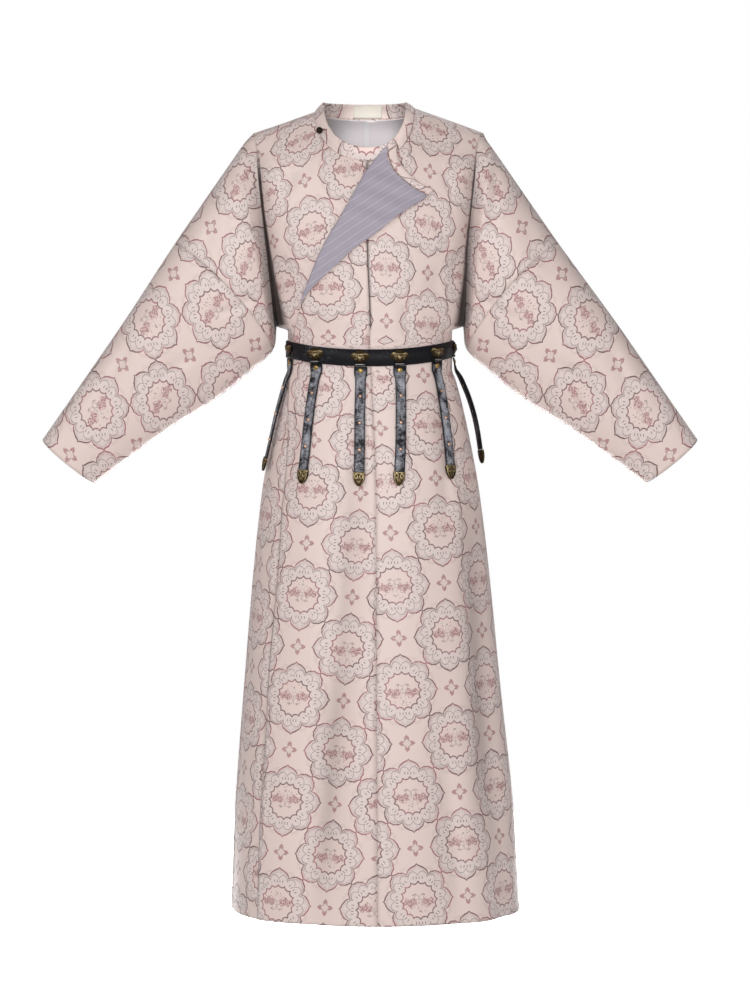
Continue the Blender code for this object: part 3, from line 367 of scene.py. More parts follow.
# Creases and soft folds of the cloth, seen from the front or the back in metres: how wide and
# deep the trough is, the ridge beside it (to the left of the path's direction when positive),
# how much painted shade darkens its bottom, and its path
Crease = namedtuple("Crease", "width depth lip shade path")
CREASES = {
    FRONT: [Crease(*row) for row in (
        # chest, wearer's right
        (0.012, 0.0030, 0.4, 0.10, ((-0.113, -0.098), (-0.125, -0.125), (-0.138, -0.154))),
        (0.010, 0.0022, 0.5, 0.05, ((-0.079, -0.234), (-0.088, -0.258), (-0.096, -0.277))),
        (0.014, 0.0030, 0.3, 0.08, ((-0.150, -0.230), (-0.132, -0.275), (-0.122, -0.330))),
        # chest, wearer's left
        (0.007, 0.0020, 0.4, 0.12, ((0.110, -0.097), (0.121, -0.125), (0.131, -0.157))),
        (0.008, 0.0022, 0.5, 0.10, ((0.102, -0.198), (0.114, -0.214), (0.128, -0.240))),
        (0.016, 0.0035, 0.3, 0.06, ((0.110, -0.256), (0.105, -0.290), (0.102, -0.325))),
        (0.010, 0.0025, 0.4, 0.10, ((0.152, -0.225), (0.135, -0.262), (0.126, -0.318))),
        # just above the belt
        (0.009, 0.0020, 0.5, 0.05, ((-0.098, -0.372), (-0.088, -0.350), (-0.080, -0.325))),
        (0.010, 0.0022, 0.4, 0.05, ((0.062, -0.380), (0.056, -0.350), (0.054, -0.318))),
        # skirt, front
        (0.026, 0.0095, 0.2, 0.16, ((-0.024, -0.440), (-0.0295, -0.551), (-0.041, -0.748),
                                    (-0.0574, -0.977), (-0.0738, -1.174), (-0.086, -1.360))),
        (0.005, 0.0030, 0.3, 0.22, ((-0.130, -0.430), (-0.1402, -0.592), (-0.1509, -0.751),
                                    (-0.1673, -0.928), (-0.1770, -1.100), (-0.1870, -1.380))),
        (0.013, 0.0040, 0.4, 0.10, ((0.104, -0.430), (0.118, -0.560), (0.125, -0.730))),
        (0.018, 0.0035, 0.3, 0.05, ((-0.118, -0.470), (-0.128, -0.560), (-0.132, -0.680))),
        (0.032, 0.0070, 0.3, 0.27, ((0.150, -0.560), (0.170, -0.800), (0.181, -1.040),
                                    (0.186, -1.280))),
        (0.034, 0.0040, 0.2, 0.15, ((-0.058, -0.860), (-0.073, -1.080), (-0.083, -1.340))),
        (0.020, 0.0050, 0.3, 0.10, ((0.112, -1.000), (0.128, -1.180), (0.146, -1.360))),
        # sleeve, wearer's right, then left
        (0.012, 0.0035, 0.4, 0.12, ((-0.196, -0.085), (-0.200, -0.150), (-0.186, -0.230))),
        (0.010, 0.0030, 0.4, 0.10, ((-0.178, -0.300), (-0.215, -0.330), (-0.262, -0.340))),
        (0.014, 0.0024, 0.3, 0.04, ((-0.240, -0.170), (-0.262, -0.230), (-0.300, -0.280))),
        (0.013, 0.0028, 0.3, 0.06, ((-0.265, -0.400), (-0.320, -0.425), (-0.372, -0.470))),
        (0.013, 0.0028, 0.3, 0.06, ((-0.380, -0.380), (-0.410, -0.440), (-0.450, -0.500))),
        (0.012, 0.0035, 0.4, 0.12, ((0.196, -0.085), (0.198, -0.150), (0.184, -0.230))),
        (0.010, 0.0030, 0.4, 0.10, ((0.172, -0.300), (0.210, -0.335), (0.255, -0.350))),
        (0.014, 0.0024, 0.3, 0.04, ((0.245, -0.175), (0.262, -0.235), (0.305, -0.290))),
        (0.013, 0.0028, 0.3, 0.06, ((0.262, -0.405), (0.322, -0.430), (0.380, -0.480))),
        (0.013, 0.0028, 0.3, 0.06, ((0.372, -0.372), (0.404, -0.436), (0.442, -0.500))),
    )],
    BACK: [Crease(*row) for row in (
        # back, wearer's right and left
        (0.014, 0.0030, 0.4, 0.08, ((-0.128, -0.110), (-0.116, -0.160), (-0.112, -0.215))),
        (0.012, 0.0026, 0.4, 0.08, ((0.124, -0.105), (0.118, -0.150), (0.108, -0.210))),
        (0.012, 0.0030, 0.4, 0.08, ((-0.150, -0.235), (-0.128, -0.285), (-0.100, -0.340))),
        (0.012, 0.0028, 0.4, 0.08, ((0.152, -0.240), (0.132, -0.280), (0.112, -0.345))),
        (0.012, 0.0026, 0.4, 0.05, ((-0.042, -0.378), (-0.046, -0.340), (-0.058, -0.300))),
        (0.012, 0.0026, 0.4, 0.05, ((0.052, -0.378), (0.046, -0.345), (0.040, -0.305))),
        (0.016, 0.0035, 0.4, 0.05, ((-0.085, -0.440), (-0.094, -0.560), (-0.098, -0.720))),
        (0.016, 0.0035, 0.4, 0.05, ((0.072, -0.440), (0.084, -0.580), (0.096, -0.760))),
        (0.022, 0.0045, 0.3, 0.05, ((-0.150, -0.900), (-0.162, -1.080), (-0.170, -1.300))),
        (0.022, 0.0045, 0.3, 0.05, ((0.128, -0.860), (0.146, -1.060), (0.154, -1.280))),
        (0.012, 0.0035, 0.4, 0.10, ((-0.200, -0.090), (-0.206, -0.150), (-0.192, -0.230))),
        (0.012, 0.0035, 0.4, 0.10, ((0.200, -0.090), (0.206, -0.150), (0.192, -0.230))),
        (0.011, 0.0030, 0.4, 0.08, ((-0.178, -0.300), (-0.225, -0.330), (-0.280, -0.345))),
        (0.011, 0.0030, 0.4, 0.08, ((0.178, -0.300), (0.222, -0.335), (0.272, -0.355))),
        (0.013, 0.0028, 0.3, 0.06, ((-0.300, -0.420), (-0.350, -0.440), (-0.400, -0.490))),
        (0.013, 0.0028, 0.3, 0.06, ((0.300, -0.420), (0.350, -0.445), (0.405, -0.495))),
    )],
}
CREASE_END_PART = 0.35
CREASE_PATH_POINTS = 14
CREASE_REACH = 3.2
# Painted shade in the fold where a sleeve meets the body: how wide it is on the body and on
# the sleeve at each drop, in metres
ARMHOLE_SHADE_WIDTHS = Table("drop body sleeve", (0.060, 0.0010, 0.0004), (0.110, 0.0035, 0.0008),
                     (0.220, 0.0050, 0.0010), (0.270, 0.0080, 0.0012), (0.310, 0.0140, 0.0014),
                     (0.360, 0.0230, 0.0016))
ARMHOLE_SOFT_REACH = 0.017
ARMHOLE_SOFT_SHADE = 0.30
BELT_QUIET_REACH = 0.008

# How the print lies on each stretch of cloth: its across and down from the cloth's own
PrintPlace = namedtuple(
    "PrintPlace",
    "across_by_across across_by_down across_start down_by_across down_by_down down_start")
PLAIN_PLACE = PrintPlace(1.0, 0.0, 0.0, 0.0, 1.0, 0.0)
PRINT_PLACES = {
    "body_right chest": PrintPlace(1.135, -0.167, 0.0541, 0.150, 1.068, -0.1357),
    "body_right skirt": PrintPlace(1.02, 0.020, 0.1100, -0.027, 1.011, -0.6100),
    "front_lap chest": PrintPlace(1.000, 0.000, 0.0678, 0.000, 1.100, -0.3432),
    "front_lap skirt": PrintPlace(1.022, 0.0195, 0.0798, -0.0272, 1.011, -0.6503),
    "body_left chest": PrintPlace(1.204, 0.0335, -0.0446, -0.051, 1.053, -0.2962),
    "body_left skirt": PrintPlace(1.010, -0.0024, 0.0833, 0.0317, 1.000, -0.7063),
    "inner_lap chest": PrintPlace(1.135, -0.167, 0.0541, 0.150, 1.068, -0.1357),
    "inner_lap skirt": PrintPlace(1.02, 0.020, 0.1100, -0.027, 1.011, -0.6100),
    "sleeve upper": PrintPlace(0.971, 0.2148, 0.1546, -0.0505, 0.944, -0.1316),
    "sleeve end": PrintPlace(0.971, 0.2148, 0.2521, -0.0505, 0.944, -0.1163),
    "collar": PrintPlace(1.0, 0.0, 0.030, 0.0, 1.0, 0.020),
    "turned collar": PrintPlace(1.0, 0.0, 0.045, 0.0, 1.0, 0.000),
}
GRAIN_FLARE = 0.073
PRINT_SHIFT_DROP = 0.388
PRINT_SHIFT_REACH = 0.028
SLEEVE_GRAIN = math.radians(61.0)


def mix(first, second, part):
    return first + (second - first) * part


def ease(value):
    """0 below 0, 1 above 1, and a soft ramp between."""
    value = np.clip(value, 0.0, 1.0)
    return value * value * (3.0 - 2.0 * value)


def power_arc(angle, power=RING_POWER):
    """Across and out of a rounded arc at an angle from its middle."""
    across = np.maximum(np.sin(angle), 0.0) ** (2.0 / power)
    out = np.maximum(np.cos(angle), 0.0) ** (2.0 / power)
    return across, out


def lean(z):
    """The upper body hangs a little to the wearer's right."""
    return -LEAN * ease((z - LEAN_END_Z) / LEAN_RAMP) * ease((LEAN_TOP_Z - z) / LEAN_TOP_RAMP)


def ridge_z(x):
    """Height of the shoulder fold."""
    return SHOULDER_START_Z - SHOULDER_SLOPE * np.maximum(np.abs(x) - SHOULDER_START_X, 0.0)


def level_of_drop(drop):
    """Level on the skirt of a drop below the collar."""
    return 1.0 + (drop + UNDERARM_Z) / (HEM_DROP + UNDERARM_Z)


def drop_of_level(level):
    return -UNDERARM_Z + (level - 1.0) * (HEM_DROP + UNDERARM_Z)


def fold_depth(around, level):
    """How far the skirt's soft folds draw the cloth in."""
    total = np.zeros(np.shape(around))
    for fold in SKIRT_FOLDS:
        middle = mix(fold.at_top, fold.at_hem, ease((level - 1.0) * 1.1))
        away = np.abs(around - middle)
        away = np.minimum(away, 4.0 - away) / fold.width
        strength = ease((level - fold.start) / (fold.full - fold.start))
        total = total + fold.depth * strength * np.exp(-away * away)
    return total


def together(*values):
    """Numbers and arrays of places, spread to one shape."""
    return np.broadcast_arrays(*(np.asarray(value, float) for value in values))


def body_points(around, level):
    """Points of the outer face of the body."""
    around, level = together(around, level)
    side = np.where(around < 0.0, RIGHT, LEFT)
    is_front = np.abs(around) <= 1.0
    face = np.where(is_front, FRONT, BACK)
    turn = np.where(is_front, np.abs(around), 2.0 - np.abs(around))
    across, out = power_arc(turn * math.pi / 2.0)
    torso = TORSO.at(np.minimum(level, 1.0))
    depth = np.where(is_front, torso.front_depth, torso.back_depth)
    x = torso.side_x * across + (torso.crease_x - torso.side_x) * across ** CREASE_POWER
    y = face * (torso.crease_depth + (depth - torso.crease_depth) * out)
    z = mix(ridge_z(x), UNDERARM_Z, np.minimum(level, 1.0) ** 2)
    upper = np.stack([side * x + lean(z), y, z], axis=-1)
    drop = drop_of_level(np.maximum(level, 1.0))
    skirt = SKIRT.at(drop)
    depth = np.where(is_front, skirt.front_depth, skirt.back_depth)
    draw = 1.0 - fold_depth(around, level) / depth
    x = skirt.middle_x + side * skirt.half_width * across * draw
    sway = (skirt.front_x - skirt.middle_x) * out * ease((drop + UNDERARM_Z) / 0.05)
    x = x + np.where(is_front, sway, 0.0)
    lower = np.stack([x, face * depth * out * draw, -drop], axis=-1)
    return np.where((level <= 1.0)[..., None], upper, lower)


def unit(vectors):
    return vectors / np.maximum(np.linalg.norm(vectors, axis=-1, keepdims=True), 1e-12)


def running_length(points):
    """Length along rows of points, from 0."""
    steps = np.linalg.norm(np.diff(points, axis=0), axis=-1)
    return np.concatenate([np.zeros((1, *steps.shape[1:])), np.cumsum(steps, axis=0)])


def body_normals(around, level):
    """Outward directions of the body's surface."""
    around, level = together(around, level)
    step = 0.01
    low = np.maximum(level - step, 0.02)
    high = np.minimum(level + step, np.where(level <= 1.0, 1.0, 2.0))
    size = np.abs(around)
    inner = np.where(size > 1.0, np.maximum(size - step, 1.0), size - step)
    outer = np.minimum(size + step, np.where(size < 1.0, 1.0, 2.0))
    first = np.where(around < 0.0, -outer, inner)
    last = np.where(around < 0.0, -inner, outer)
    sideways = body_points(last, level) - body_points(first, level)
    down = body_points(around, high) - body_points(around, low)
    return unit(np.cross(down, sideways))


def lifted(around, level, lift):
    lift = np.asarray(lift, float)[..., None]
    return body_points(around, level) + body_normals(around, level) * lift


def around_of_x(x, level):
    """Where a front ring passes x."""
    x, level = together(x, level)
    side = np.where(x < body_points(0.0, level)[..., 0], RIGHT, LEFT)
    near = np.zeros(x.shape)
    far = np.ones(x.shape)
    for _ in range(HALVINGS):
        middle = (near + far) / 2.0
        short = side * (body_points(side * middle, level)[..., 0] - x) < 0.0
        near = np.where(short, middle, near)
        far = np.where(short, far, middle)
    return side * (near + far) / 2.0


def level_of_z(x, z):
    """Level of the front at a place seen from the front."""
    top = ridge_z(x)
    upper = np.sqrt(np.maximum((z - top) / (UNDERARM_Z - top), 0.0))
    return np.where(z < UNDERARM_Z, level_of_drop(-z), upper)


def front_places(x, z, lift):
    """Points over the front at places seen from the front."""
    level = level_of_z(x, z)
    return lifted(around_of_x(x, level), level, lift)


def neck_edge(side, face, angle):
    """Around and level of the body cloth's neck edge at an angle from the shoulder."""
    across, out = power_arc(np.radians(angle))
    level = NECK_LEVEL[face] * np.sqrt(across)
    turn = np.where(out > 0.01, np.abs(around_of_x(side * NECK_REACH[side] * out, level)), 0.0)
    return side * (turn if face == FRONT else 2.0 - turn), level


def under_drop(around, level):
    """How far the under layer of the front lies inside the outer one."""
    edge = ease((UNDER_SIDE_AROUND - np.abs(around)) / UNDER_SIDE_REACH)
    return UNDER_DROP * edge * ease((level - UNDER_TOP_LEVEL) / UNDER_TOP_REACH)


def sleeve_points(side, face, along, level):
    """Points of the outer face of a sleeve: along is 0 at the armhole and 1 at the cuff."""
    along, level = together(along, level)
    part = level * level
    row = SLEEVE.at(along)
    start = SLEEVE.at(0.0)
    crease = TORSO.at(level)
    crease_z = mix(ridge_z(crease.crease_x), UNDERARM_Z, part)
    x = mix(mix(SLEEVE_TOP_START[0], SLEEVE_TOP_END[0], along), row.lower_x, part)
    z = mix(mix(SLEEVE_TOP_START[1], SLEEVE_TOP_END[1], along), row.lower_z, part)
    start_x = mix(SLEEVE_TOP_START[0], start.lower_x, part)
    start_z = mix(SLEEVE_TOP_START[1], start.lower_z, part)
    open_out = ease(along * mix(SLEEVE_TOP_LENGTH, SLEEVE_LOWER_LENGTH, part) / CREASE_WIDTH)
    x = x + (crease.crease_x - start_x) * (1.0 - open_out)
    z = z + (crease_z - start_z) * (1.0 - open_out)
    swing = 2.0 * level * np.sqrt(np.maximum(1.0 - part, 0.0))
    profile = swing ** SLEEVE_ROUNDNESS * (1.0 + SLEEVE_TOP_HEAVY * (1.0 - 2.0 * part))
    depth = mix(crease.crease_depth, row.depth * profile, open_out)
    bulge = CUFF_BULGE * swing * ease((along - 0.8) / 0.2)
    z = z - bulge * CUFF_LEAN[1]
    return np.stack([side * (x + bulge * CUFF_LEAN[0]) + lean(z), face * depth, z], axis=-1)


def seam_along(level, shift):
    """Along of the sleeve's joining seam, moved by a shift in metres."""
    part = level * level
    length = mix(SLEEVE_TOP_LENGTH, SLEEVE_LOWER_LENGTH, part)
    return mix(SEAM_ALONG_TOP, SEAM_ALONG_LOWER, part) + shift / length


def smooth_path(points, count):
    """A curve through a few points, as evenly numbered points."""
    points = np.array(points, float)
    padded = np.vstack([2 * points[0] - points[1], points, 2 * points[-1] - points[-2]])
    places = np.linspace(0.0, len(points) - 1 - 1e-9, count)
    index = places.astype(int)
    part = (places - index)[:, None]
    before, start, end, after = (padded[index + step] for step in range(4))
    return 0.5 * (2 * start + (end - before) * part
                  + (2 * before - 5 * start + 4 * end - after) * part ** 2
                  + (3 * start - before - 3 * end + after) * part ** 3)


def distance_to_path(x, z, path):
    """Signed distance from a path and the share of its length, for many places."""
    runs = np.diff(path, axis=0)
    lengths = np.linalg.norm(runs, axis=1)
    best = np.full(x.shape, np.inf)
    signed = np.zeros(x.shape)
    share = np.zeros(x.shape)
    for start, run, length, passed in zip(path, runs, lengths, running_length(path)):
        off_x = x - start[0]
        off_z = z - start[1]
        part = np.clip((off_x * run[0] + off_z * run[1]) / length ** 2, 0.0, 1.0)
        gap = np.hypot(off_x - part * run[0], off_z - part * run[1])
        nearer = gap < best
        best = np.where(nearer, gap, best)
        signed = np.where(nearer, gap * np.sign(off_z * run[0] - off_x * run[1]), signed)
        share = np.where(nearer, (passed + part * length) / lengths.sum(), share)
    return signed, share


def crease_relief(points, face):
    """Offset along the normal and painted shade of the creases of one face."""
    x = points[..., 0]
    z = points[..., 2]
    offset = np.zeros(x.shape)
    shade = np.zeros(x.shape)
    for crease in CREASES[face]:
        path = smooth_path(crease.path, CREASE_PATH_POINTS)
        low = path.min(axis=0) - CREASE_REACH * crease.width
        high = path.max(axis=0) + CREASE_REACH * crease.width
        near = (x > low[0]) & (x < high[0]) & (z > low[1]) & (z < high[1])
        if not near.any():
            continue
        signed, share = distance_to_path(x[near], z[near], path)
        signed = signed / crease.width
        ends = ease(share / CREASE_END_PART) * ease((1.0 - share) / CREASE_END_PART)
        relief = crease.lip * np.exp(-(signed - 1.5) ** 2) - np.exp(-signed ** 2)
        offset[near] += crease.depth * ends * relief
        shade[near] += crease.shade * ends * np.exp(-(2.0 * signed) ** 2)
    return offset, shade


def armhole_shade(distance, z, on_sleeve):
    """Painted shade of the cloth at a distance from the fold between a sleeve and the body."""
    drop = np.clip(-z, ARMHOLE_SHADE_WIDTHS.keys[0], ARMHOLE_SHADE_WIDTHS.keys[-1])
    row = ARMHOLE_SHADE_WIDTHS.at(drop)
    wide = row.sleeve if on_sleeve else row.body
    strength = ease((-z - 0.055) / 0.07)
    core = 1.7 * (1.0 - distance / wide)
    soft = ARMHOLE_SOFT_SHADE * np.exp(-(distance / ARMHOLE_SOFT_REACH) ** 2)
    soft = soft * (0.35 if on_sleeve else 1.0)
    return strength * np.clip(np.maximum(core, soft), 0.0, 1.0)


def belt_top_drop(around):
    """Drop of the belt's upper edge: it dips at the centre front."""
    turn = np.minimum(np.abs(around), 1.0)
    return BELT_TOP_DROP + BELT_DIP * np.cos(turn * math.pi / 2.0) ** 2


def quiet(offset, around, z):
    """Keep ridges flat under the belt, and troughs shallow there."""
    top = belt_top_drop(around) - BELT_QUIET_REACH
    low = belt_top_drop(around) + BELT_HEIGHT + BELT_QUIET_REACH
    away = np.maximum(np.maximum(top + z, -z - low), 0.0)
    free = ease(away / 0.02)
    flat = np.minimum(offset, 0.0) * mix(0.3, 1.0, free)
    return flat + np.maximum(offset, 0.0) * free * strap_clearance(around, z)


def strap_clearance(around, z):
    """0 under a hanging strap, 1 away from all of them."""
    clear = np.ones(np.shape(z))
    for strap in STRAP_ROWS:
        top = belt_top_drop(strap.top_around) + BELT_HEIGHT
        part = np.clip((-z - top) / (strap.end_drop - top), 0.0, 1.0)
        away = np.abs(around - mix(strap.top_around, strap.end_around, part))
        below = ease((-z - strap.end_drop - 0.004) / 0.015)
        above = ease((top + z) / 0.015)
        clear = clear * np.maximum(ease((away - 0.07) / 0.06), np.maximum(below, above))
    return clear


RING_LEVELS = np.linspace(0.0, 2.0, 161)
RING_TURNS = np.linspace(0.0, 1.0, 121)


def ring_lengths(side, face):
    """Length round from the centre to each turn, for each level."""
    turns = side * (RING_TURNS if face == FRONT else 2.0 - RING_TURNS * (1.0 - TINY))
    return running_length(body_points(turns[:, None], RING_LEVELS)).T


def fall_lengths(face):
    """Length down the body from the shoulder fold to each level."""
    return running_length(body_points(0.5 if face == FRONT else 1.5, RING_LEVELS))


RINGS = {(side, face): ring_lengths(side, face) for side in (RIGHT, LEFT) for face in (FRONT, BACK)}
FALLS = {face: fall_lengths(face) for face in (FRONT, BACK)}
BELT_FALL = {face: float(np.interp(level_of_drop(0.41), RING_LEVELS, FALLS[face]))
             for face in (FRONT, BACK)}


def placed(across, down, place):
    """The print's across and down for the cloth's own."""
    return np.stack([
        place.across_by_across * across + place.across_by_down * down + place.across_start,
        place.down_by_across * across + place.down_by_down * down + place.down_start], axis=-1)


def body_cloth_place(side, face, around, level, piece):
    """Across and down of places of the body in the print, which shifts under the belt."""
    lengths = RINGS[(side, face)]
    turn = np.abs(around) if face == FRONT else 2.0 - np.abs(around)
    row = np.clip(level / 2.0 * (len(RING_LEVELS) - 1), 0, len(RING_LEVELS) - 1 - 1e-9)
    column = np.clip(turn * (len(RING_TURNS) - 1), 0, len(RING_TURNS) - 1 - 1e-9)
    low_row, low_column = row.astype(int), column.astype(int)
    row_part, column_part = row - low_row, column - low_column
    near = mix(lengths[low_row, low_column], lengths[low_row, low_column + 1], column_part)
    far = mix(lengths[low_row + 1, low_column], lengths[low_row + 1, low_column + 1], column_part)
    down = np.interp(level, RING_LEVELS, FALLS[face])
    flare = GRAIN_FLARE * np.maximum(down - BELT_FALL[face], 0.0)
    across = side * (mix(near, far, row_part) - flare)
    chest = placed(across, down if face == FRONT else -down, PRINT_PLACES[piece + " chest"])
    skirt = placed(across, down, PRINT_PLACES[piece + " skirt"])
    if face == BACK:
        skirt[..., 1] *= -1.0
    drop = np.where(level < 1.0, -body_points(around, level)[..., 2], drop_of_level(level))
    return mix(chest, skirt, ease((drop - PRINT_SHIFT_DROP) / PRINT_SHIFT_REACH)[..., None])


def sleeve_cloth_place(side, face, along, level, piece):
    """Across and down of places of a sleeve in the print, unrolled about its top fold."""
    points = sleeve_points(side, face, along, level)
    top = np.array(SLEEVE_TOP_START)
    run = unit(np.array(SLEEVE_TOP_END) - top)
    off_x = side * (points[..., 0] - lean(points[..., 2])) - top[0]
    off_z = points[..., 2] - top[1]
    with_fold = off_x * run[0] + off_z * run[1]
    from_fold = off_x * run[1] - off_z * run[0]
    extra = running_length(points) - running_length(from_fold[..., None])
    from_fold = from_fold + extra * 0.5
    if face == BACK:
        from_fold = -from_fold
    turn = SLEEVE_GRAIN - math.atan2(-run[1], run[0])
    across = with_fold * math.cos(turn) + from_fold * math.sin(turn)
    down = from_fold * math.cos(turn) - with_fold * math.sin(turn)
    cloth = placed(-across, down, PRINT_PLACES[piece])
    cloth[..., 0] *= -side
    return cloth


Patch = namedtuple("Patch", "points cloth shade flipped", defaults=(0.0, False))


def patch_mesh(name, patches):
    """One open sheet from patches of rows of points, welded where they meet."""
    points, faces, cloth, shade = [], [], [], []
    base = 0
    for patch in patches:
        rows, columns = patch.points.shape[:2]
        index = base + np.arange(rows * columns).reshape(rows, columns)
        corners = [index[:-1, :-1], index[1:, :-1], index[1:, 1:], index[:-1, 1:]]
        if patch.flipped:
            corners.reverse()
        faces.append(np.stack(corners, axis=-1).reshape(-1, 4))
        points.append(patch.points.reshape(-1, 3))
        cloth.append(patch.cloth.reshape(-1, 2))
        shade.append(np.broadcast_to(patch.shade, (rows, columns)).reshape(-1))
        base += rows * columns
    faces = np.concatenate(faces)
    mesh = bpy.data.meshes.new(name)
    mesh.from_pydata(np.concatenate(points).tolist(), [], faces.tolist())
    uv = mesh.uv_layers.new(name="cloth")
    places = np.concatenate(cloth)[faces.reshape(-1)]
    uv.data.foreach_set("uv", places.astype(np.float32).reshape(-1))
    # painted shade of the creases and the armhole folds, which darkens the brocade's colour
    dark = mesh.attributes.new("painted_fold_shade", "FLOAT", "POINT")
    dark.data.foreach_set("value", np.concatenate(shade).astype(np.float32))
    shape = bmesh.new()
    shape.from_mesh(mesh)
    bmesh.ops.remove_doubles(shape, verts=shape.verts, dist=WELD)
    shape.to_mesh(mesh)
    shape.free()
    return mesh


def add_object(name, data):
    """An object in the scene, at the origin."""
    made = bpy.data.objects.new(name, data)
    bpy.context.scene.collection.objects.link(made)
    return made


def add_piece(name, mesh, *finishes):
    """A piece of the robe with its finishes."""
    mesh.polygons.foreach_set("use_smooth", np.ones(len(mesh.polygons), dtype=bool))
    for finish in finishes:
        mesh.materials.append(finish)
    return add_object(name, mesh)


def add_cloth(name, patches, outside, inside, wall, outward=False):
    """A sheet of cloth with its wall, lined on its inner face."""
    made = add_piece(name, patch_mesh(name, patches), outside, inside)
    thickness = made.modifiers.new("wall", "SOLIDIFY")
    thickness.thickness = wall
    thickness.offset = 1.0 if outward else -1.0
    thickness.material_offset = 0 if outward else 1
    return made


def hand_over(piece, slot, *nodes):
    """Let a piece stand for its CAD nodes."""
    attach(piece, "root")
    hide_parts(*nodes)


def surface_normals(points):
    """Normals of a patch from its own points, looking along down cross sideways."""
    down = np.gradient(points, axis=0)
    sideways = np.gradient(points, axis=1)
    return unit(np.cross(down, sideways))


def front_cloth(points):
    """Place on flat cloth, as seen from the front."""
    return points[..., [0, 2]] * [1.0, -1.0]


def robe_sizes():
    return bpy.context.scene.robe_sizes


def robe_colours():
    return bpy.context.scene.robe_colours


def column_shares(count):
    """Shares of the way from the centre to the side, closer together at the crease."""
    share = np.linspace(0.0, 1.0, count)
    return mix(share ** 1.12, 1.0 - (1.0 - share) ** 1.5, 0.45 * share)


def neck_angles(side, face):
    """Angles that part the neck edge into even steps."""
    dense = np.linspace(0.0, 90.0, 400)
    lengths = running_length(body_points(*neck_edge(side, face, dense)))
    return np.interp(np.linspace(0.0, lengths[-1], NECK_ROW_COUNT), lengths, dense)


def body_row_places(side, face):
    """Start (around, level) and crease level of each row of an upper quarter."""
    angles = neck_angles(side, face)
    around, level = neck_edge(side, face, angles)
    if side == LEFT and face == FRONT:
        place = body_points(around, level)
        drop = -place[:, 2]
        start_x = np.maximum(place[:, 0], FOLD_EDGE.at(drop).x + FOLD_EDGE_GAP)
        moved = np.maximum(around_of_x(start_x, level), 0.0)
        around = np.where(drop > FOLD_EDGE.keys[0], moved, around)
    lower = LOWER_ROWS[face]
    turns = np.linspace(math.asin(lower.keys[0]), math.pi / 2.0, LOWER_ROW_COUNTS[face])[1:]
    starts = np.sin(turns)
    starts = starts[np.append(1.0 - starts[:-1] > LEAST_ROW_GAP, True)]
    starts[-1] = 1.0
    centre = np.full(len(starts), 0.0 if face == FRONT else side * 2.0)
    crease = np.append(NECK_ROWS[face].at(angles).crease, lower.at(starts).end)
    return np.append(around, centre), np.append(level, starts), crease


def row_between(side, face, start, level, crease_level):
    """Places from a start round to the side, with levels that change on the way."""
    turn = np.abs(start) if face == FRONT else 2.0 - np.abs(start)
    share = column_shares(BODY_COLUMNS)
    turns = mix(turn[:, None], 1.0, share)
    around = side * (turns if face == FRONT else np.maximum(2.0 - turns, 1.0 + TINY))
    return around, mix(level[:, None], crease_level[:, None], ease(share))


def body_patch(side, face, around, level, piece, under=False):
    """Cloth over places of the body, with its creases, its print and its centre seam."""
    turn = np.abs(around)
    base = body_points(around, level)
    z = base[..., 2]
    offset, shade = crease_relief(base, face)
    offset = quiet(offset, around, z) * ease(face * (turn - 1.0) / 0.04)
    if under:
        offset = offset - under_drop(around, level)
    points = base + body_normals(around, level) * offset[..., None]
    at_side = body_points(np.sign(around) * (1.0 if face == FRONT else 1.0 + TINY), level)
    from_side = np.abs(at_side[..., 0] - base[..., 0])
    # painted shade beside the fold where the sleeve meets the body
    shade = shade + armhole_shade(from_side, z, False) * ease((z - UNDERARM_Z + 0.003) / 0.006)
    seam = (turn < TINY) | (turn > 2.0 - TINY)
    shift = side * SEAM_GAP / 2.0 + (UNDER_SEAM_SHIFT if under else 0.0)
    points[..., 0] += np.where(seam, shift, 0.0)
    return Patch(points, body_cloth_place(side, face, around, level, piece), shade, side * face > 0)


def body_patches(side, face):
    """Torso and skirt of one quarter, and the levels of its rows at the armhole."""
    under = side == RIGHT and face == FRONT
    start, level, crease = body_row_places(side, face)
    skirt = np.maximum(level_of_drop(SKIRT_DROPS), 1.0)
    centre = np.full(skirt.shape, 0.0 if face == FRONT else side * 2.0)
    patches = []
    for rows in ((start, level, crease), (centre, skirt, skirt)):
        around, levels = row_between(side, face, *rows)
        if under:
            around[:, 0] = np.where(np.abs(around[:, 0]) < TINY, -TINY / 2.0, around[:, 0])
        patches.append(body_patch(side, face, around, levels, "body_" + SIDES[side], under))
    return patches, crease


def sleeve_patch(side, face, levels, steps, shift, upper):
    """A stretch of sleeve, from its top fold down."""
    seam = seam_along(levels, shift)[:, None]
    along = seam * steps if upper else mix(seam, 1.0, steps)
    level = np.broadcast_to(levels[:, None], along.shape)
    points = sleeve_points(side, face, along, level)
    offset, shade = crease_relief(points, face)
    calm = ease(along / 0.04) * ease(level / 0.08) * ease((1.0 - level) / 0.04)
    calm = calm * ease((1.0 - along) / 0.06)
    normals = surface_normals(points) * (-1.0 if side * face > 0 else 1.0)
    points = points + normals * (offset * calm)[..., None]
    cloth = sleeve_cloth_place(side, face, along, level, "sleeve upper" if upper else "sleeve end")
    at_fold = sleeve_points(side, face, np.zeros(along.shape), level)
    from_fold = np.abs(points[..., 0] - at_fold[..., 0])
    # painted shade in the sleeve's creases and beside the fold where it meets the body
    shade = shade * calm + armhole_shade(from_fold, points[..., 2], True)
    return Patch(points, cloth, shade, side * face > 0)


def make_body_half(side):
    """Front and back of one side, in one over the shoulder, with the upper sleeve."""
    name = "body_" + SIDES[side]
    steps = np.linspace(0.0, 1.0, UPPER_SLEEVE_COLUMNS) ** 1.15
    patches = []
    for face in (FRONT, BACK):
        quarter, crease_levels = body_patches(side, face)
        patches += quarter
        patches.append(sleeve_patch(side, face, crease_levels, steps, -SEAM_GAP / 2.0, True))
    made = add_cloth(name + "_cloth", patches, brocade(), pale_lining(), WALL)
    hand_over(made, "brocade", name)


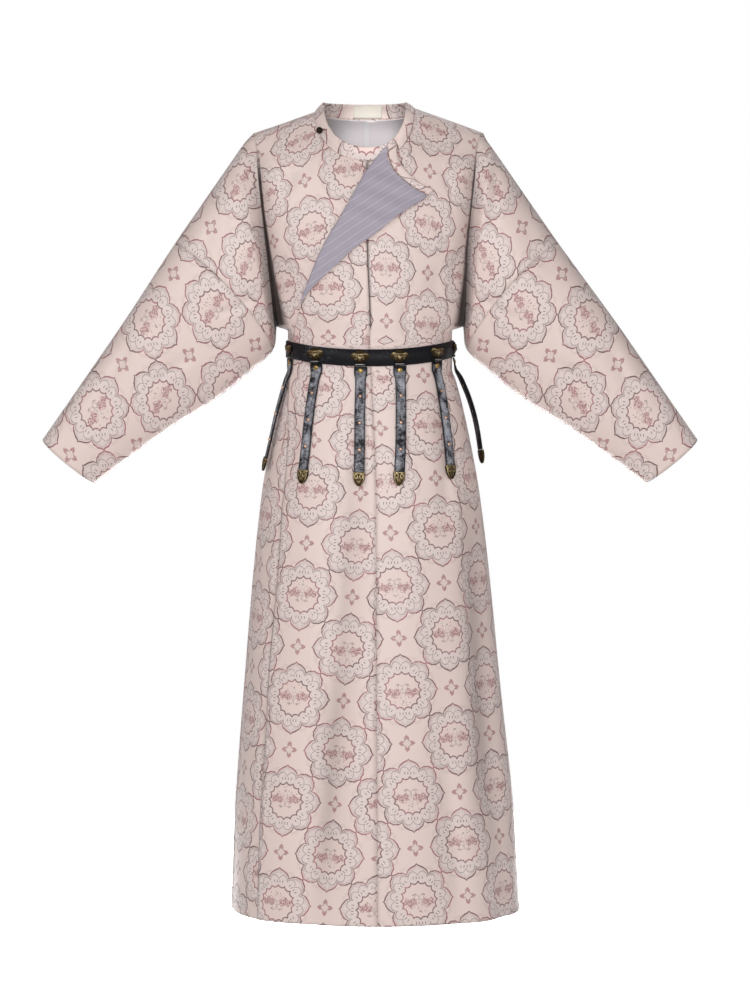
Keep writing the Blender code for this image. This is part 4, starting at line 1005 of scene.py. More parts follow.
def make_sleeve_end(side):
    """The lower end of a sleeve, from the slanting seam to the cuff."""
    name = "sleeve_" + SIDES[side]
    steps = np.linspace(0.0, 1.0, SLEEVE_END_COLUMNS)
    patches = [sleeve_patch(side, face, body_row_places(side, face)[2], steps, SEAM_GAP / 2.0, False)
               for face in (FRONT, BACK)]
    made = add_cloth(name + "_cloth", patches, brocade(), pale_lining(), WALL)
    hand_over(made, "brocade", name)


def lap_levels():
    """Levels of the rows of the overlaps, from the neck's front down."""
    torso = np.sqrt(np.linspace(NECK_LEVEL[FRONT] ** 2 + 0.002, 1.0, LAP_TORSO_ROWS))
    return np.concatenate([torso, level_of_drop(SKIRT_DROPS)[1:]])


def make_front_lap():
    """The outer overlap, from the centre front to its edge at the wearer's right."""
    levels = lap_levels()
    levels = levels[levels > FRONT_LAP_TOP_LEVEL]
    drop = np.where(levels < 1.0, -body_points(-0.5, levels)[:, 2], drop_of_level(levels))
    edge = np.where(drop < FOLD_EDGE.keys[-1], FOLD_EDGE.at(drop).x + LAP_EDGE_INSET,
                    LAP_EDGE.at(drop).x)
    reach = around_of_x(np.minimum(edge, -0.004), levels)
    around = np.minimum(reach[:, None] * np.linspace(0.0, 1.0, FRONT_LAP_COLUMNS), -TINY / 2.0)
    level = np.broadcast_to(levels[:, None], around.shape)
    patch = body_patch(RIGHT, FRONT, around, level, "front_lap")
    made = add_cloth("front_lap_cloth", [patch], brocade(), pale_lining(), WALL)
    hand_over(made, "brocade", "front_lap")


def make_inner_lap():
    """The under overlap, behind the wearer's left front."""
    angles = neck_angles(LEFT, FRONT)
    start, start_level = neck_edge(LEFT, FRONT, angles[angles > UNDER_COLLAR_END_ANGLE])
    levels = np.append(start_level, lap_levels())
    starts = np.append(start, np.zeros(len(levels) - len(start)))
    around = mix(starts[:, None], INNER_LAP_REACH, np.linspace(0.0, 1.0, INNER_LAP_COLUMNS))
    level = np.broadcast_to(levels[:, None], around.shape)
    patch = body_patch(LEFT, FRONT, around, level, "inner_lap", under=True)
    made = add_cloth("inner_lap_cloth", [patch], brocade(), pale_lining(), WALL)
    hand_over(made, "brocade", "inner_lap")


def collar_lines(side, face, angles, under):
    """Lower and upper points of the collar at angles from the shoulder."""
    around, level = neck_edge(side, face, angles)
    drop = under_drop(around, level) if under else np.zeros(angles.shape)
    low = lifted(around, level, -drop)
    across, out = power_arc(np.radians(angles))
    high_x = out * COLLAR_REACH[side]
    inward = unit(low * np.array([-1.0, -1.0, 0.0])) * SEAM_GAP
    if face == BACK:
        high = np.stack([side * high_x, COLLAR_BACK_Y * across, np.zeros(angles.shape)], axis=-1)
    else:
        high_z = COLLAR_FRONT_Z * across
        high_level = level_of_z(high_x, np.minimum(high_z, SHOULDER_START_Z))
        high_around = side * np.abs(around_of_x(high_x, high_level))
        high_y = body_points(high_around, high_level)[:, 1]
        high = np.stack([side * high_x, high_y + drop, high_z], axis=-1)
        inward = inward * ease((64.0 - angles) / 8.0)[:, None]
    over = body_normals(around, level) * COLLAR_LIFT
    return low - unit(high - low) * COLLAR_OVERLAP + inward + over, high


def whole_collar():
    """Collar lines from the fold at the left front, round the back, to the under end."""
    front = np.linspace(0.0, 90.0, 40)
    runs = (
        (LEFT, FRONT, front[front <= COLLAR_START_ANGLE][::-1], False),
        (LEFT, BACK, front[1:], False),
        (RIGHT, BACK, front[:-1][::-1], False),
        (RIGHT, FRONT, front[1:], True),
        (LEFT, FRONT, front[(front >= UNDER_COLLAR_END_ANGLE) & (front < 90.0)][::-1], True),
    )
    lines = [collar_lines(*run) for run in runs]
    return np.concatenate([low for low, _ in lines]), np.concatenate([high for _, high in lines])


def make_collar_band():
    """The narrow round collar, a little puffed along its middle."""
    low, high = whole_collar()
    parts = np.linspace(1.0, 0.0, COLLAR_ROWS)
    rows = np.stack([mix(low, high, part) for part in parts])
    puff = np.sin(np.pi * parts)[:, None, None] * robe_sizes().collar_puff
    rows = rows + surface_normals(rows) * puff
    along = running_length(mix(low, high, 0.5))
    cloth = placed(*together(along, (1.0 - parts)[:, None] * COLLAR_HEIGHT), PRINT_PLACES["collar"])
    made = add_cloth("collar_band_cloth", [Patch(rows, cloth, flipped=True)],
                     brocade(), brocade(), COLLAR_WALL)
    hand_over(made, "brocade", "collar_band")


def front_strip(first, last, keys, columns, lift, top_reach):
    """Places between two edges drawn as seen from the front, each with its lift."""
    start = first.at(keys)
    end = last.at(keys)
    part = np.linspace(0.0, 1.0, columns)
    x = mix(start.x[:, None], end.x[:, None], part)
    z = mix(start.z[:, None], end.z[:, None], part)
    lifts = lift + FLAP_TOP_LIFT * (1.0 - ease(keys / top_reach))[:, None]
    return part, x, z, np.broadcast_to(lifts, x.shape)


def inset_table(curve, toward, inset):
    """A curve moved a little toward another one."""
    other = toward.at(curve.keys)
    gap = np.stack([other.x, other.z], axis=-1) - curve.values
    size = np.linalg.norm(gap, axis=-1, keepdims=True)
    moved = curve.values + gap / size * np.minimum(inset, size * 0.3)
    return Table("part x z", *np.column_stack([curve.keys, moved]))


def make_flap():
    """The turned-down corner: its cloth against the front, and its striped lining outside."""
    keys = np.linspace(0.0, 1.0, FLAP_ROWS)
    curl = robe_sizes().flap_curl * ease((keys - 0.3) / 0.2) * ease((1.0 - keys) / 0.25)
    part, x, z, lift = front_strip(FLAP_FOLD, FLAP_FREE, keys, FLAP_COLUMNS, FLAP_LIFT, FLAP_TOP_REACH)
    lift = lift + curl[:, None] * ease((part - 0.55) / 0.45)
    patch = Patch(front_places(x, z, lift), placed(x, -z, PLAIN_PLACE))
    under = add_cloth("flap_cloth_turned", [patch], brocade(), brocade(), WALL, outward=True)
    hand_over(under, "brocade", "flap_cloth")
    free = inset_table(FLAP_FREE, FLAP_FOLD, FLAP_EDGE_INSET)
    part, x, z, lift = front_strip(FLAP_FOLD, free, keys, FLAP_LINING_COLUMNS,
                                   FLAP_LIFT + WALL + REST_GAP, FLAP_TOP_REACH)
    from_fold = np.hypot(x - x[:, :1], z - z[:, :1])
    rolled = np.clip(1.0 - from_fold / robe_sizes().fold_roll, 0.0, 1.0)
    lift = lift + curl[:, None] * ease((part - 0.55) / 0.45)
    lift = lift * np.sqrt(np.maximum(1.0 - rolled ** 2, 0.0)) + 0.0002
    wave = FLAP_WAVE * np.sin(z * 190.0 + x * 60.0) * ease(from_fold / 0.01)
    lift = lift + wave * ease((1.0 - part) / 0.2)
    patch = Patch(front_places(x, z, lift), np.stack([x, z], axis=-1))
    lining = add_cloth("flap_lining_striped", [patch], striped_lining(), striped_lining(), WALL,
                       outward=True)
    hand_over(lining, "striped_lining", "flap_lining")


def make_turned_collar():
    """The stretch of collar that turns down with the corner."""
    keys = np.linspace(0.0, 1.0, TURNED_ROWS)
    part, x, z, lift = front_strip(TURNED_INNER, TURNED_OUTER, keys, TURNED_COLUMNS, FLAP_LIFT,
                                   TURNED_TOP_REACH)
    lift = lift + robe_sizes().collar_puff * np.sin(np.pi * part)
    points = front_places(x, z, lift)
    along = running_length(points[:, TURNED_COLUMNS // 2])
    cloth = placed(*together(along[:, None], part * TURNED_HEIGHT), PRINT_PLACES["turned collar"])
    made = add_cloth("collar_turned_cloth", [Patch(points, cloth)], brocade(), brocade(),
                     COLLAR_WALL, outward=True)
    hand_over(made, "brocade", "collar_turned")


def make_back_lining():
    """The pale lining behind the neck, with its centre seam."""
    patches = []
    rise, half = LINING_SEAM
    wide = column_shares(BODY_COLUMNS) < LINING_SHARE
    for side in (RIGHT, LEFT):
        start, level, crease = body_row_places(side, BACK)
        keep = (level > LINING_LEVELS[0]) & (level < LINING_LEVELS[1])
        around, levels = row_between(side, BACK, start[keep], level[keep], crease[keep])
        around = around[:, wide]
        points = lifted(around, levels[:, wide], -LINING_DROP)
        points[..., 0] = np.where(np.abs(around) > 2.0 - TINY, 0.0, points[..., 0])
        points[..., 1] -= rise * np.exp(-(points[..., 0] / half) ** 4)
        patches.append(Patch(points, front_cloth(points), flipped=side * BACK > 0))
    made = add_cloth("back_lining_cloth", patches, neck_lining(), neck_lining(), LINING_WALL)
    hand_over(made, "pale_lining", "back_lining")


def label_points(inside):
    """Rows of points at a distance inside the puffed collar at the back, where the label is."""
    low, high = whole_collar()
    back = high[:, 1] > COLLAR_BACK_Y * 0.6
    low, high = low[back], high[back]
    x = LABEL_MIDDLE_X + LABEL_WIDTH * (0.5 - np.linspace(0.0, 1.0, LABEL_COLUMNS))
    rows = []
    for part in np.linspace(LABEL_TOP_PART, LABEL_LOW_PART, LABEL_ROWS):
        track = mix(low, high, part)
        track = track[np.argsort(track[:, 0])]
        puff = LABEL_PUFF * robe_sizes().collar_puff * math.sin(math.pi * part)
        y = np.interp(x, track[:, 0], track[:, 1]) - inside - puff
        rows.append(np.stack([x, y, np.interp(x, track[:, 0], track[:, 2])], axis=-1))
    return np.stack(rows)


def make_label():
    """The bare label, sewn flat on the inside of the collar."""
    points = label_points(LABEL_WALL + REST_GAP)
    made = add_cloth("neck_label_cloth", [Patch(points, front_cloth(points), flipped=True)],
                     label_cloth(), label_cloth(), LABEL_WALL)
    hand_over(made, "label_cloth", "neck_label")


def ring_mesh(name, rings, layer=None, values=None):
    """A closed skin through rings of points, all with the same count, with a named number each."""
    shape = bmesh.new()
    numbers = shape.verts.layers.float.new(layer) if layer else None
    made = [[shape.verts.new(point) for point in ring] for ring in rings]
    if layer:
        for ring, row in zip(made, values):
            for corner, value in zip(ring, row):
                corner[numbers] = value
    for first, second in zip(made, made[1:]):
        for corner in range(len(first)):
            after = (corner + 1) % len(first)
            shape.faces.new((first[corner], second[corner], second[after], first[after]))
    shape.faces.new(made[0])
    shape.faces.new(list(reversed(made[-1])))
    bmesh.ops.remove_doubles(shape, verts=shape.verts, dist=0.000001)
    bmesh.ops.recalc_face_normals(shape, faces=shape.faces)
    mesh = bpy.data.meshes.new(name)
    shape.to_mesh(mesh)
    shape.free()
    return mesh


BAND_SPOTS = (
    (-1.0, 0.0, 0.0, 1.0), (-1.0, 0.0, 0.5, 0.0), (-1.0, 0.45, 0.97, 0.0), (-0.82, 0.0, 1.01, 0.0),
    (-0.50, 0.0, 1.05, 0.0), (0.0, 0.0, 1.08, 0.0), (0.50, 0.0, 1.05, 0.0), (0.82, 0.0, 1.01, 0.0),
    (1.0, -0.45, 0.97, 0.0), (1.0, 0.0, 0.5, 0.0), (1.0, 0.0, 0.0, -1.0),
)


def band_ring(point, sideways, outward, half, thickness, bevel):
    """Cross-section of a flat leather band with rounded edges and a slightly domed face."""
    ring = []
    for share, bevel_in, height, low_in in BAND_SPOTS:
        across = share * half + (bevel_in + 0.4 * low_in) * bevel
        ring.append(point + sideways * across + outward * (height * thickness))
    return ring


def make_belt_band():
    """The black leather band, closed at the centre back under the clasp."""
    rings = []
    heights = np.array([1.0, 0.96, 0.5, 0.04, 0.0])
    for around in np.linspace(-2.0, 2.0, BELT_RINGS):
        drop = belt_top_drop(around) + BELT_HEIGHT * (1.0 - heights)
        points = lifted(around, level_of_drop(drop), BELT_GAP)
        points[:, 2] = -drop
        if abs(around) > 2.0 - TINY:
            points[:, 0] = math.copysign(REST_GAP, around)
        bulge = np.array([[0.55], [1.0], [1.03], [1.0], [0.55]]) * BELT_THICKNESS
        face = points + body_normals(around, level_of_drop(drop)) * bulge
        rings.append([points[0], *face, points[4], points[2]])
    made = add_piece("belt_band_leather", ring_mesh("belt_band_leather", rings), belt_leather())
    hand_over(made, "black_leather", "belt_band")


def make_clasp():
    """A plain plate over the belt's ends at the centre back, with a raised border."""
    low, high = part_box("belt_clasp")
    middle = (low + high) / 2.0
    flat = (high - low) / 2.0 - Vector((CLASP_CORNER, 0.0, CLASP_CORNER))
    rings = []
    for inset, y in ((0.0006, low.y), (0.0, low.y + 0.0006), (0.0, high.y - 0.0007),
                     (0.0007, high.y), (0.0030, high.y), (0.0042, high.y - 0.0009)):
        ring = []
        for side, up in ((-1, -1), (1, -1), (1, 1), (-1, 1)):
            for step in range(5):
                angle = math.atan2(up, side) + (step / 4.0 - 0.5) * math.pi / 2.0
                reach = CLASP_CORNER - inset
                ring.append(Vector((middle.x + side * flat.x + reach * math.cos(angle), y,
                                    middle.z + up * flat.z + reach * math.sin(angle))))
        rings.append(ring)
    made = add_piece("belt_clasp_plate", ring_mesh("belt_clasp_plate", rings), bronze())
    hand_over(made, "bronze", "belt_clasp")


def strap_place(strap, part):
    """Around, drop and lift of a strap's middle line: part is 0 at the belt, 1 at the tip."""
    top = float(belt_top_drop(strap.top_around)) + BELT_HEIGHT + REST_GAP
    lift = mix(STRAP_LIFT, strap.end_lift, part * part) + strap.bow * math.sin(math.pi * part)
    return (mix(strap.top_around, strap.end_around, part), mix(top, strap.end_drop, part), lift)


def strap_frame(strap, part):
    """Point, sideways, down and outward directions of a strap's middle line."""
    places = [strap_place(strap, spot) for spot in (part, part + 0.01, part - 0.01)]
    point, ahead, behind = (Vector(lifted(around, level_of_drop(drop), lift))
                            for around, drop, lift in places)
    outward = Vector(body_normals(places[0][0], level_of_drop(places[0][1])))
    down = (ahead - behind).normalized()
    turn = Matrix.Rotation(-strap.twist * float(ease(part / STRAP_TWIST_PART)), 3, down)
    sideways = turn @ outward.cross(down).normalized()
    return point, sideways, down, down.cross(sideways).normalized()


def strap_length(strap):
    return strap.end_drop - float(belt_top_drop(strap.top_around)) - BELT_HEIGHT - REST_GAP


def strap_corner_drop(strap, half, side):
    """Drop of the belt's lower edge over one top corner of a strap."""
    nudge = 0.01
    level = level_of_drop(BELT_TOP_DROP + BELT_HEIGHT)
    ahead = body_points(strap.top_around + nudge, level)
    behind = body_points(strap.top_around - nudge, level)
    turn = side * half * 2.0 * nudge / np.linalg.norm(ahead - behind)
    return float(belt_top_drop(strap.top_around + turn)) + BELT_HEIGHT + 2.0 * REST_GAP


def make_strap(strap):
    """A hanging leather strap, wider where it is looped over the belt."""
    length = strap_length(strap)
    end = 1.0 - TIP_LENGTH / length
    parts = [0.0, 0.004, *np.linspace(0.02, end - 0.005, STRAP_RINGS), end]
    rings = []
    for part in parts:
        point, sideways, _, outward = strap_frame(strap, float(part))
        narrow = float(ease((part * length - STRAP_TOP_LENGTH) / STRAP_TAPER))
        half = mix(STRAP_TOP_WIDTH, STRAP_WIDTH, narrow) / 2.0
        thick = STRAP_THICKNESS * (0.94 if part in (0.0, end) else 1.0)
        ring = band_ring(point, sideways, outward, half, thick, STRAP_BEVEL)
        if part == 0.0:
            first = strap_corner_drop(strap, half, -1.0)
            last = strap_corner_drop(strap, half, 1.0)
            for spot in ring:
                spot.z = -mix(first, last, (spot - point).dot(sideways) / (2.0 * half) + 0.5)
        rings.append(ring)
    name = "strap_{}_leather".format(strap.name)
    # shares that keep the bloom, partly painted sheen, off the strap's edges and its top
    across = [abs(spot[0]) if spot[2] > 0.9 else 1.2 for spot in BAND_SPOTS]
    sheen_falloff = [[max(spot, 1.25 - part * length / 0.016) for spot in across] for part in parts]
    mesh = ring_mesh(name, rings, "sheen_edge_share", sheen_falloff)
    made = add_piece(name, mesh, belt_leather() if strap.twist else strap_leather())
    hand_over(made, "black_leather", "strap_" + strap.name)


def bell(value, width):
    """1 at 0, falling softly to nothing over a width."""
    return math.exp(-(value / width) ** 2)


def tip_relief(across, along):
    """Relief of a strap tip: a raised border and two scrolls facing each other."""
    size = abs(across)
    border = bell(size - 0.86, 0.10)
    spine = 0.8 * bell(across, 0.13) * bell(along - 0.62, 0.25)
    scroll = bell(math.hypot(size - 0.42, (along - 0.30) * 1.5) - 0.24, 0.09)
    leaf = bell(size - 0.30 + 0.25 * (along - 0.6), 0.10) * bell(along - 0.66, 0.16)
    return max(border, spine, scroll, leaf, bell(along - 0.05, 0.05))


def make_tip(strap):
    """The bronze end of a strap: a shield in relief."""
    point, sideways, down, outward = strap_frame(strap, 1.0 - TIP_LENGTH / strap_length(strap))
    rings, reliefs = [], []
    for along in np.linspace(0.0, 0.985, TIP_ROWS):
        half = TIP_WIDTH / 2.0 * float(TIP_OUTLINE.at(along).half)
        middle = point + down * (REST_GAP + along * TIP_LENGTH)
        body = TIP_THICKNESS * (0.70 + 0.18 * math.sin(math.pi * min(along + 0.15, 1.0)))
        ring = [middle - sideways * half]
        relief = [0.0]
        for across in np.linspace(-1.0, 1.0, TIP_COLUMNS):
            relief.append(tip_relief(across, along))
            height = body * (1.0 - 0.45 * across ** 4) + TIP_RELIEF * relief[-1]
            inset = math.copysign(0.0004, across) if abs(across) > 0.99 else 0.0
            ring.append(middle + sideways * (across * half - inset) + outward * height)
        rings.append(ring + [middle + sideways * half])
        reliefs.append(relief + [0.0])
    name = "strap_tip_{}_bronze".format(strap.name)
    made = add_piece(name, ring_mesh(name, rings, "relief", reliefs), cast_bronze())
    hand_over(made, "bronze", "strap_tip_" + strap.name)


def mount_frame(strap):
    """Seat, sideways and outward directions of the mount above a strap."""
    around = strap.top_around
    level = level_of_drop(float(belt_top_drop(around)) + BELT_HEIGHT * MOUNT_MIDDLE_PART)
    outward = Vector(body_normals(around, level))
    outward.z = 0.0
    outward.normalize()
    seat = Vector(lifted(around, level, BELT_GAP)) + outward * (BELT_THICKNESS + REST_GAP)
    return seat, outward.cross(-UP).normalized(), outward


def mount_relief(across, up):
    """Relief of the mount: a brow with curled horns, two bosses, cheeks and a blunt snout."""
    size = abs(across)
    dome = 0.50 * max(1.0 - across * across - up * up, 0.0)
    brow = 0.30 * bell(up - 0.36 - 0.25 * size, 0.15) * math.exp(-(size / 0.80) ** 4)
    eye = math.hypot(size - 0.38, (up - 0.02) * 1.1)
    bosses = 0.34 * bell(eye, 0.13) + 0.16 * bell(eye - 0.24, 0.05)
    snout = 0.50 * bell(across, 0.20) * bell(up + 0.22, 0.30)
    nostril = -0.25 * bell(size - 0.12, 0.06) * bell(up + 0.42, 0.07)
    cheek = 0.20 * bell(size - 0.52, 0.14) * bell(up + 0.45, 0.16)
    ear = math.hypot(size - 0.74, up - 0.45)
    horns = 0.32 * bell(ear - 0.17, 0.06) + 0.18 * bell(ear, 0.06)
    furrow = -0.10 * math.sin(across * 16.0) ** 2 * bell(up - 0.62, 0.15)
    return dome, brow + bosses + snout + nostril + cheek + horns + furrow


def mount_outline(angle):
    """Reach of the mount's lobed outline at an angle, as shares of its half width and height."""
    return (1.0 + 0.07 * math.cos(4.0 * angle) + 0.05 * math.cos(2.0 * angle)
            + 0.030 * math.cos(10.0 * angle + 0.4) * abs(math.sin(angle)))


def make_mount(strap):
    """The bronze mount on the belt above a strap: a horned beast's face, of no maker's design."""
    seat, sideways, outward = mount_frame(strap)
    rings, reliefs = [], []
    shares = [1.0, 1.0, 0.985] + [1.0 - step / 16.0 for step in range(1, 16)] + [0.02]
    for number, share in enumerate(shares):
        ring, relief = [], []
        for angle in np.linspace(0.0, 2.0 * math.pi, MOUNT_SEGMENTS, endpoint=False):
            reach = mount_outline(angle)
            dome, drawn = mount_relief(math.cos(angle) * share, math.sin(angle) * share)
            height = min((0.20 + dome + drawn) / MOUNT_TALLEST, 1.0)
            if number < len(MOUNT_RIM):
                height = MOUNT_RIM[number]
            across = math.cos(angle) * share * reach
            up = math.sin(angle) * share * reach
            taper = 1.0 + (0.06 if up > 0.0 else 0.26) * up
            ring.append(seat + sideways * (across * taper * MOUNT_WIDTH / 2.0)
                        + UP * (up * MOUNT_HEIGHT / 2.0) + outward * (height * MOUNT_DEPTH))
            relief.append(drawn * 3.0)
        rings.append(ring)
        reliefs.append(relief)
    name = "belt_mount_{}_bronze".format(strap.name)
    made = add_piece(name, ring_mesh(name, rings, "relief", reliefs), cast_bronze())
    hand_over(made, "bronze", "belt_mount_" + strap.name)


def add_extra(piece):
    """A fine piece that has no CAD node of its own."""
    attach(piece, "root")


def make_loop(strap):
    """The end of a strap that is looped over the belt, from its mount to the belt's lower edge."""
    seat, sideways, outward = mount_frame(strap)
    top = MOUNT_HEIGHT * MOUNT_REACH_PART + LOOP_GAP
    low = BELT_HEIGHT * (1.0 - MOUNT_MIDDLE_PART) - LOOP_GAP
    rings = []
    for share in (0.0, 0.06, 0.5, 0.94, 1.0):
        thick = LOOP_THICKNESS * (0.7 if share in (0.0, 1.0) else 1.0)
        rings.append(band_ring(seat - UP * mix(top, low, share), sideways, outward,
                               STRAP_TOP_WIDTH / 2.0, thick, LOOP_BEVEL))
    name = "strap_{}_loop".format(strap.name)
    add_extra(add_piece(name, ring_mesh(name, rings), belt_leather()))


def make_keeper(strap):
    """The pale metal bar under a mount, across the strap's loop."""
    seat, sideways, outward = mount_frame(strap)
    middle = (seat + outward * (LOOP_THICKNESS + REST_GAP + KEEPER_LIFT)
              - UP * (MOUNT_HEIGHT * MOUNT_REACH_PART + LOOP_GAP + KEEPER_DROP))
    rings = []
    for across in np.linspace(-1.0, 1.0, 13):
        radius = KEEPER_RADIUS * math.sqrt(max(1.0 - abs(across) ** 6, 0.02))
        centre = middle + sideways * (across * KEEPER_HALF_LENGTH)
        rings.append(round_ring(centre, outward, UP, radius, 10))
    name = "keeper_bar_{}".format(strap.name)
    add_extra(add_piece(name, ring_mesh(name, rings), pewter()))


def rivet_distances():
    return [RIVET_FIRST] + [RIVET_SECOND + RIVET_PITCH * step for step in range(3)]


def rivet_seat(strap, distance):
    """Seat and outward direction of a rivet on a strap."""
    point, _, _, outward = strap_frame(strap, distance / strap_length(strap))
    return point + outward * STRAP_THICKNESS, outward


class Steps:
    """A Geometry Nodes tree being built, with named inputs and one output of pieces."""

    def __init__(self, name, source, sizes, finish):
        self.tree = bpy.data.node_groups.new(name, "GeometryNodeTree")
        self.socket(source, "Geometry")
        for size, value in sizes.items():
            self.socket(size, "Float").default_value = value
        self.socket(finish, "Material")
        self.socket("Pieces", "Geometry", "OUTPUT")
        self.given = self.tree.nodes.new("NodeGroupInput").outputs
        self.finish = self.given[finish]

    def socket(self, name, kind, way="INPUT"):
        return self.tree.interface.new_socket(name, in_out=way, socket_type="NodeSocket" + kind)

    def node(self, kind, settings=(), **inputs):
        """Add a node, whose inputs take numbers, words or the outputs of other nodes."""
        made = self.tree.nodes.new(kind)
        for name, value in settings:
            setattr(made, name, value)
        for name, value in inputs.items():
            if isinstance(value, bpy.types.NodeSocket):
                self.tree.links.new(value, made.inputs[name])
            else:
                made.inputs[name].default_value = value
        return made.outputs

    def end(self, instances):
        """Make the instances real, smooth and finished, and end the tree with them."""
        real = self.node("GeometryNodeRealizeInstances", Geometry=instances)["Geometry"]
        smooth = self.node("GeometryNodeSetShadeSmooth", Geometry=real)["Geometry"]
        coat = self.node("GeometryNodeSetMaterial", Geometry=smooth, Material=self.finish)
        self.tree.links.new(coat["Geometry"], self.tree.nodes.new("NodeGroupOutput").inputs["Pieces"])
        return self.tree


def dome_tree():
    """Geometry Nodes: a domed head at each point, turned to its outward direction."""
    steps = Steps("domed rivets", "Points", {"Radius": 0.003, "Rise": 0.002}, "Finish")
    radius = steps.given["Radius"]
    head = steps.node("GeometryNodeMeshUVSphere", Segments=20, Rings=12, Radius=1.0)["Mesh"]
    size = steps.node("ShaderNodeCombineXYZ", X=radius, Y=radius, Z=steps.given["Rise"])["Vector"]
    dome = steps.node("GeometryNodeTransform", Geometry=head, Scale=size)["Geometry"]
    outward = steps.node("GeometryNodeInputNamedAttribute", [("data_type", "FLOAT_VECTOR")],
                         Name="outward")["Attribute"]
    turn = steps.node("FunctionNodeAlignRotationToVector", [("axis", "Z")], Vector=outward)
    heads = steps.node("GeometryNodeInstanceOnPoints", Points=steps.given["Points"], Instance=dome,
                       Rotation=turn["Rotation"])
    return steps.end(heads["Instances"])


def made_by_nodes(name, tree, base_mesh, values):
    """Run a node tree on a mesh and keep the result as a plain mesh object."""
    holder = add_object(name + "_base", base_mesh)
    modifier = holder.modifiers.new("nodes", "NODES")
    modifier.node_group = tree
    for item in tree.interface.items_tree:
        if item.name in values:
            modifier[item.identifier] = values[item.name]
    depsgraph = bpy.context.evaluated_depsgraph_get()
    mesh = bpy.data.meshes.new_from_object(holder.evaluated_get(depsgraph), depsgraph=depsgraph)
    holder.modifiers.remove(modifier)
    bpy.data.objects.remove(holder)
    mesh.name = name
    return add_object(name, mesh)


def seats_mesh(name, seats):
    """Points with their outward directions, for a node tree to stand things on."""
    mesh = bpy.data.meshes.new(name)
    mesh.from_pydata([tuple(point) for point, _ in seats], [], [])
    outward = mesh.attributes.new("outward", "FLOAT_VECTOR", "POINT")
    outward.data.foreach_set("vector", [value for _, way in seats for value in way])
    return mesh


def make_rivets():
    tree = dome_tree()
    distances = rivet_distances()
    large = [rivet_seat(strap, distances[0]) for strap in STRAP_ROWS]
    made = made_by_nodes("large_rivets", tree, seats_mesh("large_rivet_seats", large),
                         {**LARGE_RIVET, "Finish": brass()})
    hand_over(made, "bronze", *["rivet_large_" + strap.name for strap in STRAP_ROWS])
    small = [rivet_seat(strap, distance) for strap in STRAP_ROWS for distance in distances[1:]]
    made = made_by_nodes("small_rivets", tree, seats_mesh("small_rivet_seats", small),
                         {**SMALL_RIVET, "Finish": copper()})
    nodes = ["rivet_small_{}_{}".format(strap.name, number)
             for strap in STRAP_ROWS for number in (1, 2, 3)]
    hand_over(made, "copper", *nodes)


def stitch_tree():
    """Geometry Nodes: a short rounded stitch at even steps along each edge path."""
    sizes = {"Step": 0.003, "Length": 0.002, "Thickness": 0.0003}
    steps = Steps("stitches", "Paths", sizes, "Thread")
    thickness = steps.given["Thickness"]
    curve = steps.node("GeometryNodeMeshToCurve", Mesh=steps.given["Paths"])["Curve"]
    points = steps.node("GeometryNodeCurveToPoints", [("mode", "LENGTH")], Curve=curve,
                        Length=steps.given["Step"])
    grain = steps.node("GeometryNodeMeshUVSphere", Segments=6, Rings=4, Radius=0.5)["Mesh"]
    size = steps.node("ShaderNodeCombineXYZ", X=thickness, Y=thickness, Z=steps.given["Length"])
    stitches = steps.node("GeometryNodeInstanceOnPoints", Points=points["Points"], Instance=grain,
                          Rotation=points["Rotation"], Scale=size["Vector"])
    return steps.end(stitches["Instances"])


def make_stitches():
    """Stitches round the label."""
    inner = label_points(2.0 * LABEL_WALL + REST_GAP + 0.0001)[1:-1, 1:-1]
    loop = np.concatenate([inner[0], inner[1:, -1], inner[-1, -2::-1], inner[-2::-1, 0]])
    mesh = bpy.data.meshes.new("label_edge")
    mesh.from_pydata(loop.tolist(), [(step, step + 1) for step in range(len(loop) - 1)], [])
    made = made_by_nodes("label_stitches", stitch_tree(), mesh,
                         {**STITCH, "Thread": thread()})
    add_extra(made)


def make_button():
    """The knot button: a dark ball with the grooves of a knot, and its cord loop."""
    x, z = BUTTON_AT
    level = level_of_z(x, z)
    around = around_of_x(x, level)
    lift = BUTTON_LIFT + BUTTON_RADIUS - float(under_drop(around, level))
    seat = Vector(lifted(around, level, lift))
    outward = Vector(body_normals(around, level))
    rings = []
    for row in range(1, BUTTON_ROWS):
        polar = math.pi * row / BUTTON_ROWS
        ring = []
        for turn in np.linspace(0.0, 2.0 * math.pi, BUTTON_SEGMENTS, endpoint=False):
            weave = math.sin(3.0 * turn + 4.0 * polar) * math.sin(3.0 * turn - 4.0 * polar)
            radius = BUTTON_RADIUS * (0.955 + 0.045 * abs(weave) ** 0.5)
            flat = Vector((math.cos(turn), math.sin(turn), 0.0)) * math.sin(polar)
            ring.append(seat + (flat + UP * math.cos(polar)) * radius)
        rings.append(ring)
    made = add_piece("knot_button_ball", ring_mesh("knot_button_ball", rings), dark_metal())
    hand_over(made, "dark_metal", "knot_button")
    side = outward.cross(UP).normalized()
    up = side.cross(outward).normalized()
    reach = BUTTON_RADIUS * 0.98
    path = []
    for step in range(17):
        turn = math.pi * (0.12 + 0.76 * step / 16)
        path.append(seat - outward * (BUTTON_RADIUS * 0.70) + side * (reach * math.cos(turn) * 0.8)
                    + up * (reach * (0.55 + 0.75 * math.sin(turn))))
    mesh = cord_mesh("knot_button_loop", path, BUTTON_CORD_RADIUS)
    add_extra(add_piece("knot_button_loop", mesh, loop_cord()))


def round_ring(centre, side, up, radius, count):
    """Points of a circle about a centre."""
    turns = [2.0 * math.pi * number / count for number in range(count)]
    return [centre + side * (radius * math.cos(turn)) + up * (radius * math.sin(turn))
            for turn in turns]


